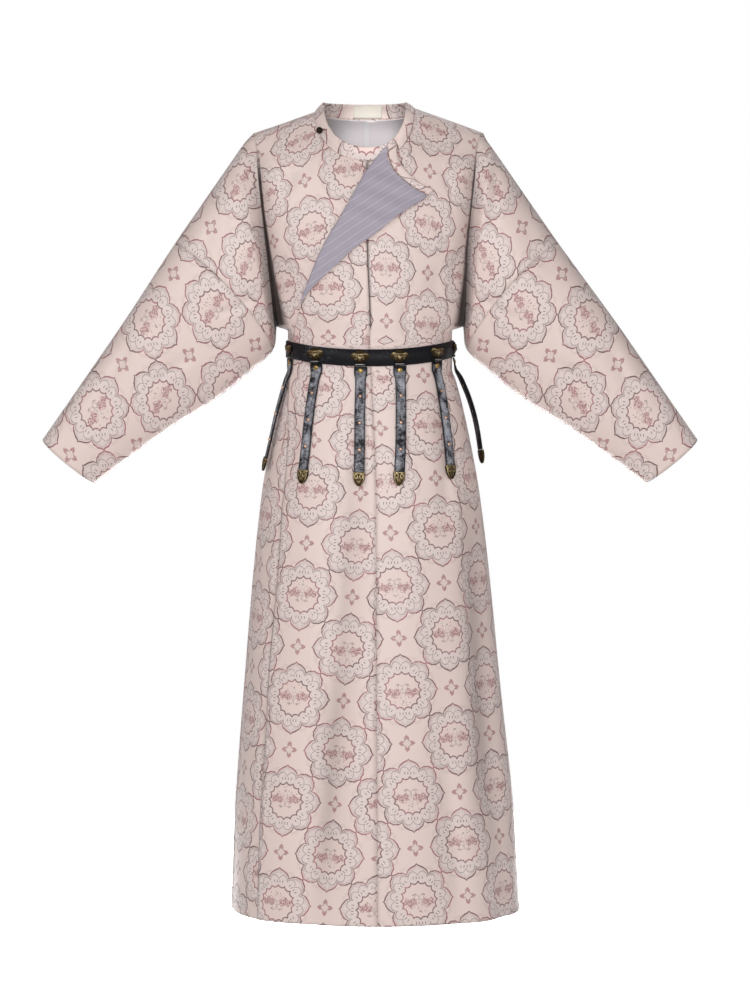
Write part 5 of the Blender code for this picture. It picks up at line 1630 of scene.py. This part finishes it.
def cord_mesh(name, path, radius):
    """A round cord along a path."""
    rings = []
    side = (path[1] - path[0]).orthogonal()
    for index, point in enumerate(path):
        along = (path[min(index + 1, len(path) - 1)] - path[max(index - 1, 0)]).normalized()
        side = (side - along * side.dot(along)).normalized()
        rings.append(round_ring(point, side, along.cross(side), radius, 8))
    return ring_mesh(name, rings)


class Field:
    """A number that changes over a surface: an output socket with arithmetic."""

    def __init__(self, socket):
        self.socket = socket

    def math(self, operation, *others):
        tree = self.socket.id_data
        node = tree.nodes.new("ShaderNodeMath")
        node.operation = operation
        for slot, value in zip(node.inputs, (self, *others)):
            if isinstance(value, Field):
                tree.links.new(value.socket, slot)
            else:
                slot.default_value = value
        return Field(node.outputs[0])

    __add__ = partialmethod(math, "ADD")
    __sub__ = partialmethod(math, "SUBTRACT")
    __mul__ = partialmethod(math, "MULTIPLY")
    __truediv__ = partialmethod(math, "DIVIDE")
    __abs__ = partialmethod(math, "ABSOLUTE")

    def __rsub__(self, other):
        return (self * -1.0) + other

    def clamp(self):
        held = self.math("ADD", 0.0)
        held.socket.node.use_clamp = True
        return held

    def wrap(self, half):
        """Repeat over twice a half width, centred on zero."""
        return self.math("WRAP", half, -half)


def hypot(x, y):
    return (x * x + y * y).math("SQRT")


def line(distance, width, soft=0.0004):
    """1 within half a width of no distance, fading over a soft edge."""
    return ((abs(distance) * -1.0 + width / 2.0) / soft + 0.5).clamp()


def inside(distance, soft=0.0004):
    """1 where a distance is below zero."""
    return (distance * (-1.0 / soft) + 0.5).clamp()


class Finish:
    """A material being built, with short ways to make its nodes."""

    def __init__(self, name):
        self.made = bpy.data.materials.new(name)
        self.made.use_nodes = True
        self.tree = self.made.node_tree
        self.shader = self.tree.nodes["Principled BSDF"]

    def node(self, kind, **settings):
        made = self.tree.nodes.new(kind)
        for name, value in settings.items():
            setattr(made, name, value)
        return made

    def link(self, source, target):
        self.tree.links.new(source.socket if isinstance(source, Field) else source, target)

    def set(self, **values):
        for name, value in values.items():
            self.shader.inputs[name.replace("_", " ")].default_value = value

    def object_place(self):
        return self.node("ShaderNodeTexCoord").outputs["Object"]

    def cloth_place(self):
        return self.node("ShaderNodeUVMap", uv_map="cloth").outputs["UV"]

    def split(self, vector):
        parts = self.node("ShaderNodeSeparateXYZ")
        self.link(vector, parts.inputs[0])
        return Field(parts.outputs[0]), Field(parts.outputs[1]), Field(parts.outputs[2])

    def noise(self, vector, scale, detail=2.0, roughness=0.5):
        made = self.node("ShaderNodeTexNoise")
        self.link(vector, made.inputs["Vector"])
        made.inputs["Scale"].default_value = scale
        made.inputs["Detail"].default_value = detail
        made.inputs["Roughness"].default_value = roughness
        return Field(made.outputs["Fac"])

    def attribute(self, name):
        return Field(self.node("ShaderNodeAttribute", attribute_name=name).outputs["Fac"])

    def curve(self, value, points):
        """A value read through a drawn curve from 0 to 1."""
        made = self.node("ShaderNodeFloatCurve")
        self.link(value, made.inputs["Value"])
        track = made.mapping.curves[0]
        while len(track.points) < len(points):
            track.points.new(0.5, 0.5)
        for spot, place in zip(track.points, points):
            spot.location = place
        made.mapping.update()
        return Field(made.outputs["Value"])

    def paint(self, below, colour, share):
        """A colour laid over another by a share that varies over the surface."""
        made = self.node("ShaderNodeMix", data_type="RGBA")
        self.link(share, made.inputs["Factor"])
        for slot, value in zip(made.inputs[6:8], (below, colour)):
            if hasattr(value, "is_output"):
                self.link(value, slot)
            else:
                slot.default_value = (*value, 1.0)
        return made.outputs[2]

    def bump(self, height, distance, strength=1.0):
        made = self.node("ShaderNodeBump")
        self.link(height, made.inputs["Height"])
        made.inputs["Distance"].default_value = distance
        made.inputs["Strength"].default_value = strength
        self.link(made.outputs["Normal"], self.shader.inputs["Normal"])

    def colour(self, source):
        self.link(source, self.shader.inputs["Base Color"])


MADE_FINISHES = {}


def kept(build):
    """Build a finish once and use it again."""
    def finish():
        if build.__name__ not in MADE_FINISHES:
            MADE_FINISHES[build.__name__] = build()
        return MADE_FINISHES[build.__name__]
    return finish


# The print: medallions and florets on a chequer of cells, in metres on the flat cloth
CELL_ACROSS = 0.0835
CELL_DOWN = 0.0842
PETALS = 8
CIRCLES = 16
OUTLINE_REACH = 0.0590
# Reach of a medallion's outline from a petal's middle (0) to the valley beside it (1)
POINTED_PETAL = ((0.0, 1.0), (0.08, 0.965), (0.20, 0.945), (0.38, 0.925), (0.60, 0.890),
                 (0.78, 0.855), (0.92, 0.812), (1.0, 0.765))
LOBED_PETAL = ((0.0, 1.0), (0.06, 0.975), (0.36, 0.940), (0.50, 0.925), (0.60, 0.890),
               (0.72, 0.875), (0.85, 0.830), (1.0, 0.765))
LOOP_CENTRE = 0.0372
LOOP_LENGTH = 0.0102
LOOP_WIDTH = 0.0080
WEAVE_WAVE = 5200.0


def nearest_place(across, down):
    """Place from the nearest medallion's middle, and 1 on every second medallion."""
    x = across.wrap(CELL_ACROSS)
    y = down.wrap(CELL_DOWN)
    odd = (abs(x) / CELL_ACROSS + abs(y) / CELL_DOWN).math("GREATER_THAN", 1.0)
    x = x - odd * x.math("SIGN") * CELL_ACROSS
    y = y - odd * y.math("SIGN") * CELL_DOWN
    return x, y, odd


def speckled(name, first, second, scale, share=1.0, **settings):
    """A finish of one colour with soft spots of another."""
    made = Finish(name)
    spots = made.noise(made.object_place(), scale)
    made.colour(made.paint(first, second, spots * share))
    made.set(**settings)
    return made


@kept
def brocade():
    """Cream-pink satin with a drawn print of medallions and florets."""
    colours = robe_colours()
    made = Finish("brocade_satin")
    place = made.cloth_place()
    across, down, _ = made.split(place)
    tone = made.noise(place, 26.0, 1.0)
    wander = made.noise(place, 420.0, 2.0)
    wobble = (made.noise(place, 150.0, 1.0) - 0.5) * 0.0014
    x, y, odd = nearest_place(across, down)
    reach = hypot(x, y)
    turn = y.math("ARCTAN2", x)

    # the outline of eight petals, by turns pointed and lobed
    petal = turn.wrap(math.pi / PETALS)
    pointed = (turn * (PETALS / 2.0)).math("COSINE").math("GREATER_THAN", 0.0)
    off = abs(petal) * (PETALS / math.pi)
    edge_lobed = made.curve(off, LOBED_PETAL)
    edge = (edge_lobed + (made.curve(off, POINTED_PETAL) - edge_lobed) * pointed) * OUTLINE_REACH
    from_edge = (reach - edge) * 0.82 + wobble
    within = inside(from_edge)
    edge_line = line(from_edge, 0.0020)
    second_line = line(from_edge + 0.0026 + wobble, 0.0009) * (1.0 - pointed * 0.55)
    hatch = line(turn.wrap(math.pi / 124.0) * reach, 0.0007) * line(from_edge + 0.0044, 0.0034)

    # the ring of small loops round its middle, and a dash in each petal
    loop_turn = (turn - math.pi / CIRCLES).wrap(math.pi / CIRCLES)
    circle = (hypot((reach * loop_turn.math("COSINE") - LOOP_CENTRE) / LOOP_LENGTH,
                    reach * loop_turn.math("SINE") / LOOP_WIDTH) - 1.0) * 0.0088 + wobble * 0.6
    inner = inside(reach - 0.0315)
    ring = line(circle, 0.0018) * inner
    circles = line(circle, 0.0010) * within * (1.0 - inner)
    hollow = inside(reach - 0.0285) * inside(circle * -1.0)
    petals = within * (1.0 - hollow)
    scribble = ((wander - 0.545) * 9.0).clamp() * petals
    cross = abs(reach * petal.math("SINE"))
    dashes = line(abs(cross - 0.0050) - 0.0025, 0.0013)
    dashes = dashes * line(reach * petal.math("COSINE") - 0.0365, 0.0042)

    # two small birds over a plant, in the middle; every second medallion is upside down
    up = y * (odd * 2.0 - 1.0)
    side_x = abs(x)
    curl = (side_x * 520.0).math("SINE") * 0.0016
    from_bird = hypot((side_x - 0.0150) / 0.0128, (up - 0.0030 - curl) / 0.0066)
    feather = line((up + side_x * 0.45 + curl).wrap(0.00125), 0.0011, 0.0004)
    bird = ((1.05 - from_bird) * 3.5).clamp() * ((wander - 0.40) * 6.0 + feather * 0.5).clamp()
    wing = line(hypot(side_x - 0.0120, up - 0.0078) - 0.0038, 0.0010) * inside(0.0062 - up)
    birds = (bird + wing * 0.7).clamp()
    strokes = ((from_bird - 1.25) * -3.0).clamp() * ((wander - 0.53) * 11.0).clamp()
    stem = line(side_x - up.math("SINE") * 0.05, 0.0010) * inside(abs(up + 0.0035) - 0.0085)
    twigs = line(hypot(side_x - 0.0042, (up + 0.0050) * 0.8) - 0.0034, 0.0010)
    plant = (stem + twigs).clamp() * ((wander - 0.36) * 6.0).clamp()
    leaf_x = (side_x - 0.0082) * 0.90 + (up + 0.0095) * 0.44
    leaf_y = (up + 0.0095) * 0.90 - (side_x - 0.0082) * 0.44
    leaves = inside(hypot(leaf_x * 0.40, leaf_y) - 0.0014, 0.0003)
    leaves = leaves * ((wander - 0.38) * 7.0).clamp()
    cells = made.node("ShaderNodeTexVoronoi", voronoi_dimensions="2D")
    made.link(place, cells.inputs["Vector"])
    cells.inputs["Scale"].default_value = 120.0
    dots = inside(Field(cells.outputs["Distance"]) - 0.10, 0.06) * inside(0.0095 - up, 0.002)
    dots = dots * inside(reach - 0.0245, 0.002)
    eye = inside(hypot(side_x * 0.9, (up - 0.0172) * 0.7) - 0.0009, 0.0004)
    eye = (eye + line(hypot(side_x, up - 0.0120) - 0.0035, 0.0006) * 0.4).clamp()

    # faint rings outside it, and the florets between the medallions
    valley = (turn - math.pi / PETALS).wrap(math.pi / PETALS)
    halo = hypot(reach * valley.math("COSINE") - 0.0475, reach * valley.math("SINE"))
    halos = (line(halo - 0.0068, 0.0007) + line(halo - 0.0094, 0.0006)).clamp() * (1.0 - within)
    floret_x, floret_y, _ = nearest_place(across + CELL_ACROSS, down)
    size_x = abs(floret_x)
    size_y = abs(floret_y)
    diamond = (size_x * 1.04 + size_y) * 0.71
    far = size_x.math("MAXIMUM", size_y)
    near = size_x.math("MINIMUM", size_y)
    ring_line = line(diamond - 0.0056, 0.0013)
    corner = line(diamond - 0.0080, 0.0040, 0.0008) * inside(near - 0.0038, 0.0010)
    tip = inside(hypot(far - 0.0118, near) - 0.0015, 0.0006)
    pip = line(diamond - 0.0022, 0.0011) * 0.30
    florets = (corner + tip).clamp() * ((wander - 0.28) * 6.0).clamp()

    fine = colours.fine_line
    ink = made.paint(colours.rose_line, colours.dark_line, (tone * 4.0 - 1.50).clamp())
    base = colours.ground
    for colour, share in (
            (colours.petal_fill, petals * 0.9), (colours.hollow_fill, hollow * 0.7),
            (fine, scribble * 0.26), (fine, circles * 0.66),
            (fine, (halos * 0.34 + hatch * 0.30).clamp()),
            (fine, (dashes + dots + leaves * 0.8 + eye).clamp() * 0.85),
            (fine, (plant * 0.6 + (ring_line + pip) * 0.55).clamp()),
            (ink, (ring * 0.85 + second_line * 0.50).clamp()), (ink, edge_line * 0.90),
            (colours.rose_fill, birds * 0.85), (colours.dark_line, strokes * 0.42),
            (colours.rose_fill, florets * 0.85),
            # painted shade in the creases and the armhole folds
            (colours.crease_shadow_colour, made.attribute("painted_fold_shade").clamp())):
        base = made.paint(base, colour, share)
    made.colour(base)
    made.set(Roughness=0.40, Specular_IOR_Level=0.48, Sheen_Weight=0.12, Sheen_Roughness=0.4)
    weave = (across * WEAVE_WAVE).math("SINE") * (down * WEAVE_WAVE).math("SINE")
    made.bump(weave * 0.04 + made.noise(made.object_place(), 38.0, 3.0), 0.0012, 0.35)
    return made.made


@kept
def pale_lining():
    """Thin pale lining with a faint rib."""
    made = speckled("pale_lining_cloth", robe_colours().lining, robe_colours().lining_shade, 24.0,
                    0.5, Roughness=0.62, Sheen_Weight=0.15)
    made.bump(made.noise(made.object_place(), 700.0, 1.0), 0.0002, 0.4)
    return made.made


@kept
def neck_lining():
    """The lining behind the neck: pale, with a lighter strip over the centre seam."""
    made = Finish("neck_lining_cloth")
    place = made.cloth_place()
    across, _, _ = made.split(place)
    colours = robe_colours()
    strip = line(across + 0.0055, 0.0100, 0.0010)
    edge = line(abs(across + 0.0055) - 0.0050, 0.0008, 0.0005)
    tone = made.noise(place, 30.0, 2.0)
    base = made.paint(colours.lining, colours.lining_shade, tone * 0.35)
    base = made.paint(base, colours.lining_strip, strip)
    base = made.paint(base, colours.lining_shade, edge * 0.8)
    made.colour(base)
    made.set(Roughness=0.8, Specular_IOR_Level=0.15)
    made.bump(made.noise(place, 900.0, 1.0), 0.0002, 0.3)
    return made.made


@kept
def striped_lining():
    """Lavender lining with thin lighter stripes that rise to the right."""
    made = Finish("striped_lining_cloth")
    place = made.cloth_place()
    x, z, _ = made.split(place)
    colours = robe_colours()
    slant = math.radians(33.0)
    run = z * math.cos(slant) - x * math.sin(slant) + x * x * 0.35
    sizes = robe_sizes()
    stripe = line(run.wrap(sizes.stripe_step / 2.0), 0.0012, 0.0007)
    second = line((run - sizes.stripe_step * 0.5).wrap(sizes.stripe_step / 2.0), 0.0006, 0.0005)
    mottle = made.noise(place, 60.0, 2.0)
    base = made.paint(colours.stripe_ground, colours.stripe_shade, mottle * 0.5)
    base = made.paint(base, colours.stripe, (stripe * 0.7 + second * 0.2).clamp())
    made.colour(base)
    made.set(Roughness=0.48, Sheen_Weight=0.15, Specular_IOR_Level=0.4)
    made.bump((run * 4200.0).math("SINE") * 0.2 + stripe, 0.0002, 0.35)
    return made.made


@kept
def label_cloth():
    """Cream woven tape."""
    made = Finish("label_tape")
    _, z, _ = made.split(made.cloth_place())
    rib = (z * WEAVE_WAVE).math("SINE")
    # painted shade in the grooves between the ribs of the tape
    made.colour(made.paint(robe_colours().label, robe_colours().label_tone_and_groove_shade, rib * 0.25 + 0.25))
    made.set(Roughness=0.75)
    made.bump(rib, 0.0001, 0.5)
    return made.made


@kept
def thread():
    """Cream thread of the label's stitches."""
    colours = robe_colours()
    return speckled("cream_thread", colours.label, colours.label_tone_and_groove_shade, 900.0, Roughness=0.7).made


def leather(name, share, patchy, start, sheen_off_edges):
    """Black leather: a fine grain, and a grey-blue bloom in patches, partly painted sheen."""
    made = Finish(name)
    place = made.object_place()
    grain = made.node("ShaderNodeTexVoronoi", feature="DISTANCE_TO_EDGE")
    made.link(place, grain.inputs["Vector"])
    grain.inputs["Scale"].default_value = 900.0
    pores = Field(grain.outputs["Distance"])
    broad = made.noise(place, patchy, 4.0, 0.65)
    fine = made.noise(place, 420.0, 3.0, 0.6)
    # grey-blue bloom in patches: part wear, part painted sheen
    bloom = ((broad - start) * 3.6 + (fine - 0.5) * 1.8).clamp() * share
    # on the straps the bloom keeps off the edges and the top: a painted highlight along the middle
    if sheen_off_edges:
        edge = (made.attribute("sheen_edge_share") - 0.60) * 2.6
        bloom = bloom * (1.0 - edge.clamp())
    made.colour(made.paint(robe_colours().leather, robe_colours().leather_bloom_and_sheen, bloom))
    made.link(bloom * 0.15 + 0.40, made.shader.inputs["Roughness"])
    made.set(Specular_IOR_Level=0.14)
    made.bump(pores * 0.5 + fine * 0.5, 0.00035, 0.5)
    return made.made


@kept
def belt_leather():
    return leather("belt_black_leather", 0.30, 14.0, 0.52, False)


@kept
def strap_leather():
    return leather("strap_black_leather", 1.0, 60.0, 0.38, True)


def metal(name, bright, dark, roughness, patchy=260.0, wear=1.0, cast=False):
    """Cast metal with darker hollows and small pits."""
    made = Finish(name)
    place = made.object_place()
    tarnish = made.noise(place, patchy, 4.0, 0.6)
    pits = made.noise(place, 1500.0, 2.0)
    share = (tarnish - 0.46) * 5.0
    if cast:
        share = (tarnish - 0.5) * 2.2 + 1.30 - made.attribute("relief") * 1.15
    share = share.clamp() * wear
    made.colour(made.paint(bright, dark, share))
    made.link(share * 0.22 + roughness, made.shader.inputs["Roughness"])
    made.set(Metallic=1.0)
    made.bump(tarnish + pits * 0.4, 0.0005, 0.6)
    return made.made


@kept
def cast_bronze():
    return metal("cast_bronze", robe_colours().bronze_high, robe_colours().bronze_dark, 0.30, cast=True)


@kept
def bronze():
    return metal("aged_bronze", robe_colours().bronze, robe_colours().bronze_dark, 0.34)


@kept
def brass():
    return metal("old_brass", robe_colours().brass, robe_colours().bronze_dark, 0.30, 320.0, 0.5)


@kept
def copper():
    return metal("pale_copper", robe_colours().copper, robe_colours().bronze, 0.24, 300.0, 0.35)


@kept
def pewter():
    return metal("pale_pewter", (0.42, 0.41, 0.40), (0.16, 0.15, 0.15), 0.34, 400.0, 0.6)


@kept
def dark_metal():
    return metal("dark_knot_metal", (0.045, 0.032, 0.022), (0.012, 0.009, 0.008), 0.22, 200.0, 0.6)


@kept
def loop_cord():
    """Dark cord of the button's loop."""
    made = speckled("dark_cord", (0.05, 0.035, 0.03), (0.11, 0.08, 0.07), 1200.0, Roughness=0.6)
    made.bump(made.noise(made.object_place(), 2500.0), 0.0002, 0.6)
    return made.made


@kept
def studio_white():
    """The pale floor."""
    return speckled("studio_white", (0.93, 0.93, 0.93), (0.95, 0.95, 0.95), 3.0, Roughness=0.9,
                    Specular_IOR_Level=0.1).made


FLOOR_REACH = 7.0
FLOOR_BACK_Y = 3.6
ROBE_MIDDLE = (0.0, 0.0, -0.62)
CAMERA_AT = (0.0082, -5.0, -0.32)
CAMERA_AIM = (0.0082, 0.0, -0.6469)
METRES_PER_PIXEL = 0.00164
PHOTO_HEIGHT = 1000
SENSOR = 36.0


def add_aimed(name, data, place, aim):
    """A camera or a light at a place, turned to its aim."""
    made = add_object(name, data)
    made.location = place
    made.rotation_euler = (Vector(aim) - Vector(place)).to_track_quat("-Z", "Y").to_euler()
    return made


def add_light(name, place, aim, size, power, spread=math.pi):
    data = bpy.data.lights.new(name, "AREA")
    data.shape = "RECTANGLE"
    data.size, data.size_y = size
    data.energy = power
    data.spread = spread
    add_aimed(name, data, place, aim)


def make_stage():
    """A pale floor, a white surround, soft studio light and the camera."""
    sizes = robe_sizes()
    floor_z = -HEM_DROP - sizes.floor_drop
    mesh = bpy.data.meshes.new("studio_floor")
    corners = ((-FLOOR_REACH, -FLOOR_REACH), (FLOOR_REACH, -FLOOR_REACH), (FLOOR_REACH, FLOOR_BACK_Y),
               (-FLOOR_REACH, FLOOR_BACK_Y))
    mesh.from_pydata([(x, y, floor_z) for x, y in corners], [], [(0, 1, 2, 3)])
    add_piece("studio_floor", mesh, studio_white())
    world = bpy.data.worlds.new("studio")
    world.use_nodes = True
    sky = world.node_tree.nodes["Background"]
    sky.inputs["Color"].default_value = (1.0, 1.0, 1.0, 1.0)
    seen = world.node_tree.nodes.new("ShaderNodeLightPath")
    strength = Field(seen.outputs["Is Camera Ray"]) * (1.0 - sizes.sky_strength)
    strength = strength.math("ADD", sizes.sky_strength)
    world.node_tree.links.new(strength.socket, sky.inputs["Strength"])
    bpy.context.scene.world = world
    add_light("key_soft", (-2.6, -3.0, 1.2), ROBE_MIDDLE, (1.8, 1.8), sizes.key_power)
    add_light("front_soft", (0.0, -4.4, 0.3), ROBE_MIDDLE, (2.4, 2.4), sizes.front_power)
    add_light("fill_soft", (2.6, -2.6, 0.2), ROBE_MIDDLE, (2.2, 2.2), sizes.fill_power)
    add_light("back_soft", (0.6, 1.9, 1.8), ROBE_MIDDLE, (1.6, 1.6), sizes.back_power)
    add_light("floor_wash", (0.0, 2.7, 2.0), (0.0, 2.7, floor_z), (2.2, 0.8), sizes.floor_power, 1.2)
    narrow = bpy.data.lights.new("neck_soft", "SPOT")
    narrow.energy = sizes.neck_power
    narrow.spot_size = 0.052
    narrow.spot_blend = 0.5
    narrow.shadow_soft_size = 0.02
    narrow.specular_factor = 0.0
    add_aimed("neck_soft", narrow, (0.0, -2.2, 0.42), (0.0, 0.075, -0.066))
    bpy.context.scene.view_settings.view_transform = "Standard"
    data = bpy.data.cameras.new("photo_camera")
    data.sensor_width = SENSOR
    distance = (Vector(CAMERA_AIM) - Vector(CAMERA_AT)).length
    data.lens = SENSOR * distance / (METRES_PER_PIXEL * PHOTO_HEIGHT)
    bpy.context.scene.camera = add_aimed("photo_camera", data, CAMERA_AT, CAMERA_AIM)


def length_property(name, description, default, low, high):
    return FloatProperty(name=name, description=description, default=default, min=low, max=high,
                         precision=4, unit="LENGTH")


def power_property(name, description, default):
    return FloatProperty(name=name, description="Power of the {}, in watts".format(description),
                         default=default, min=0.0, max=2000.0)


class RobeSizes(bpy.types.PropertyGroup):
    collar_puff: length_property("Collar puff", "How far the collar's middle swells",
                                 0.0007, 0.0, 0.002)
    flap_curl: length_property("Corner curl", "How far the turned corner's free edge stands off",
                               0.0022, 0.0, 0.006)
    fold_roll: length_property("Fold roll", "Radius of the turned corner's fold",
                               0.0034, 0.001, 0.008)
    stripe_step: length_property("Stripe step", "Distance from one lining stripe to the next",
                                 0.0120, 0.004, 0.04)
    floor_drop: length_property("Floor below hem", "Gap between the hem and the floor",
                                0.45, 0.0, 1.0)
    sky_strength: FloatProperty(
        name="Sky", description="Strength of the even white light", default=0.24, min=0.0, max=5.0)
    key_power: power_property("Key light", "soft light from the upper left", 42.0)
    front_power: power_property("Front light", "soft light beside the camera", 74.0)
    fill_power: power_property("Fill light", "soft light from the right", 14.0)
    neck_power: power_property("Neck light", "narrow light into the neck", 125.0)
    back_power: power_property("Back light", "soft light from behind", 8.0)
    floor_power: power_property("Floor wash", "light on the floor behind", 170.0)


def tint(name, description, default):
    return FloatVectorProperty(name=name, description=description, default=default, size=3,
                               min=0.0, max=1.0, subtype="COLOR")


class RobeColours(bpy.types.PropertyGroup):
    ground: tint("Ground", "Cream-pink satin", (0.815, 0.660, 0.612))
    petal_fill: tint("Petals", "Tint inside a medallion's petals", (0.795, 0.672, 0.640))
    hollow_fill: tint("Middle", "Tint inside a medallion's ring", (0.812, 0.645, 0.604))
    fine_line: tint("Fine lines", "Grey-mauve drawn lines", (0.215, 0.135, 0.140))
    rose_line: tint("Rose lines", "Lighter drawn lines", (0.370, 0.115, 0.135))
    rose_fill: tint("Rose fill", "Birds and florets", (0.430, 0.190, 0.200))
    dark_line: tint("Dark lines", "Darker drawn lines", (0.110, 0.034, 0.038))
    # painted shade: the colour laid at the bottom of creases and armhole folds
    crease_shadow_colour: tint("Deep fold", "Colour at the bottom of a tight fold", (0.022, 0.013, 0.011))
    lining: tint("Lining", "Pale lining", (0.860, 0.800, 0.815))
    lining_shade: tint("Lining shade", "Darker patches of the lining", (0.76, 0.70, 0.725))
    lining_strip: tint("Seam strip", "Strip over the centre seam", (0.86, 0.83, 0.85))
    stripe_ground: tint("Striped lining", "Lavender lining", (0.390, 0.352, 0.415))
    stripe_shade: tint("Striped lining shade", "Darker patches", (0.330, 0.295, 0.355))
    stripe: tint("Stripes", "Thin lighter stripes", (0.560, 0.505, 0.590))
    label: tint("Label", "Cream tape", (0.84, 0.79, 0.70))
    # painted shade between the tape's ribs, and spots of tone on the thread
    label_tone_and_groove_shade: tint("Label shade", "Between the ribs of the tape", (0.68, 0.62, 0.53))
    leather: tint("Leather", "Black leather", (0.008, 0.008, 0.010))
    # grey-blue bloom: part wear, part painted sheen
    leather_bloom_and_sheen: tint("Leather bloom", "Worn grey-blue bloom", (0.400, 0.400, 0.450))
    bronze: tint("Bronze", "Bright of the aged bronze", (0.36, 0.25, 0.11))
    bronze_high: tint("Bronze relief", "High parts of the cast pieces", (0.48, 0.37, 0.20))
    bronze_dark: tint("Bronze hollows", "Dark of the aged bronze", (0.045, 0.03, 0.014))
    brass: tint("Brass", "Large rivets", (0.52, 0.35, 0.12))
    copper: tint("Copper", "Small rivets", (0.72, 0.47, 0.34))


class ROBE_OT_body(bpy.types.Operator):
    """Make the two body halves, each in one with its upper sleeve"""
    bl_idname = "robe.body"
    bl_label = "Body halves"

    def execute(self, context):
        make_body_half(RIGHT)
        make_body_half(LEFT)
        return {"FINISHED"}


class ROBE_OT_sleeves(bpy.types.Operator):
    """Make the two sleeve ends"""
    bl_idname = "robe.sleeves"
    bl_label = "Sleeve ends"

    def execute(self, context):
        make_sleeve_end(RIGHT)
        make_sleeve_end(LEFT)
        return {"FINISHED"}


class ROBE_OT_overlaps(bpy.types.Operator):
    """Make the outer and the inner overlap of the front"""
    bl_idname = "robe.overlaps"
    bl_label = "Overlaps"

    def execute(self, context):
        make_front_lap()
        make_inner_lap()
        return {"FINISHED"}


class ROBE_OT_collar(bpy.types.Operator):
    """Make the round collar and its turned stretch"""
    bl_idname = "robe.collar"
    bl_label = "Collar"

    def execute(self, context):
        make_collar_band()
        make_turned_collar()
        return {"FINISHED"}


class ROBE_OT_flap(bpy.types.Operator):
    """Make the turned-down corner with its striped lining"""
    bl_idname = "robe.flap"
    bl_label = "Turned corner"

    def execute(self, context):
        make_flap()
        return {"FINISHED"}


class ROBE_OT_neck(bpy.types.Operator):
    """Make the lining behind the neck, the bare label and its stitches"""
    bl_idname = "robe.neck"
    bl_label = "Neck lining and label"

    def execute(self, context):
        make_back_lining()
        make_label()
        make_stitches()
        return {"FINISHED"}


class ROBE_OT_button(bpy.types.Operator):
    """Make the knot button and its loop"""
    bl_idname = "robe.button"
    bl_label = "Knot button"

    def execute(self, context):
        make_button()
        return {"FINISHED"}


class ROBE_OT_belt(bpy.types.Operator):
    """Make the belt's band and the clasp at its back"""
    bl_idname = "robe.belt"
    bl_label = "Belt"

    def execute(self, context):
        make_belt_band()
        make_clasp()
        return {"FINISHED"}


class ROBE_OT_straps(bpy.types.Operator):
    """Make the hanging straps and their bronze tips"""
    bl_idname = "robe.straps"
    bl_label = "Hanging straps"

    def execute(self, context):
        for strap in STRAP_ROWS:
            make_strap(strap)
            make_tip(strap)
        return {"FINISHED"}


class ROBE_OT_mounts(bpy.types.Operator):
    """Make the belt's bronze mounts and the bars under them"""
    bl_idname = "robe.mounts"
    bl_label = "Mounts"

    def execute(self, context):
        for strap in STRAP_ROWS:
            make_mount(strap)
            make_loop(strap)
            if abs(strap.top_around) < KEEPER_REACH:
                make_keeper(strap)
        return {"FINISHED"}


class ROBE_OT_rivets(bpy.types.Operator):
    """Make the large and small rivets of the straps"""
    bl_idname = "robe.rivets"
    bl_label = "Rivets"

    def execute(self, context):
        make_rivets()
        return {"FINISHED"}


class ROBE_OT_stage(bpy.types.Operator):
    """Make the floor, the lights and the camera"""
    bl_idname = "robe.stage"
    bl_label = "Stage"

    def execute(self, context):
        make_stage()
        return {"FINISHED"}


OPERATORS = (ROBE_OT_stage, ROBE_OT_body, ROBE_OT_sleeves, ROBE_OT_overlaps, ROBE_OT_collar,
             ROBE_OT_flap, ROBE_OT_neck, ROBE_OT_button, ROBE_OT_belt, ROBE_OT_straps,
             ROBE_OT_mounts, ROBE_OT_rivets)


class ROBE_PT_pieces(bpy.types.Panel):
    """Sizes, colours and the pieces of the robe"""
    bl_idname = "ROBE_PT_pieces"
    bl_label = "Round-collar robe"
    bl_space_type = "VIEW_3D"
    bl_region_type = "UI"
    bl_category = "Robe"

    def draw(self, context):
        layout = self.layout
        for group in (context.scene.robe_sizes, context.scene.robe_colours):
            box = layout.box()
            for name in group.__annotations__:
                box.prop(group, name)
        for operator in OPERATORS:
            layout.operator(operator.bl_idname)


CLASSES = (RobeSizes, RobeColours, *OPERATORS, ROBE_PT_pieces)


def register():
    for item in CLASSES:
        bpy.utils.register_class(item)
    bpy.types.Scene.robe_sizes = PointerProperty(type=RobeSizes)
    bpy.types.Scene.robe_colours = PointerProperty(type=RobeColours)


def unregister():
    del bpy.types.Scene.robe_colours
    del bpy.types.Scene.robe_sizes
    for item in reversed(CLASSES):
        bpy.utils.unregister_class(item)


def main():
    register()
    for operator in OPERATORS:
        group, name = operator.bl_idname.split(".")
        getattr(getattr(bpy.ops, group), name)()


if __name__ == "__main__":
    main()
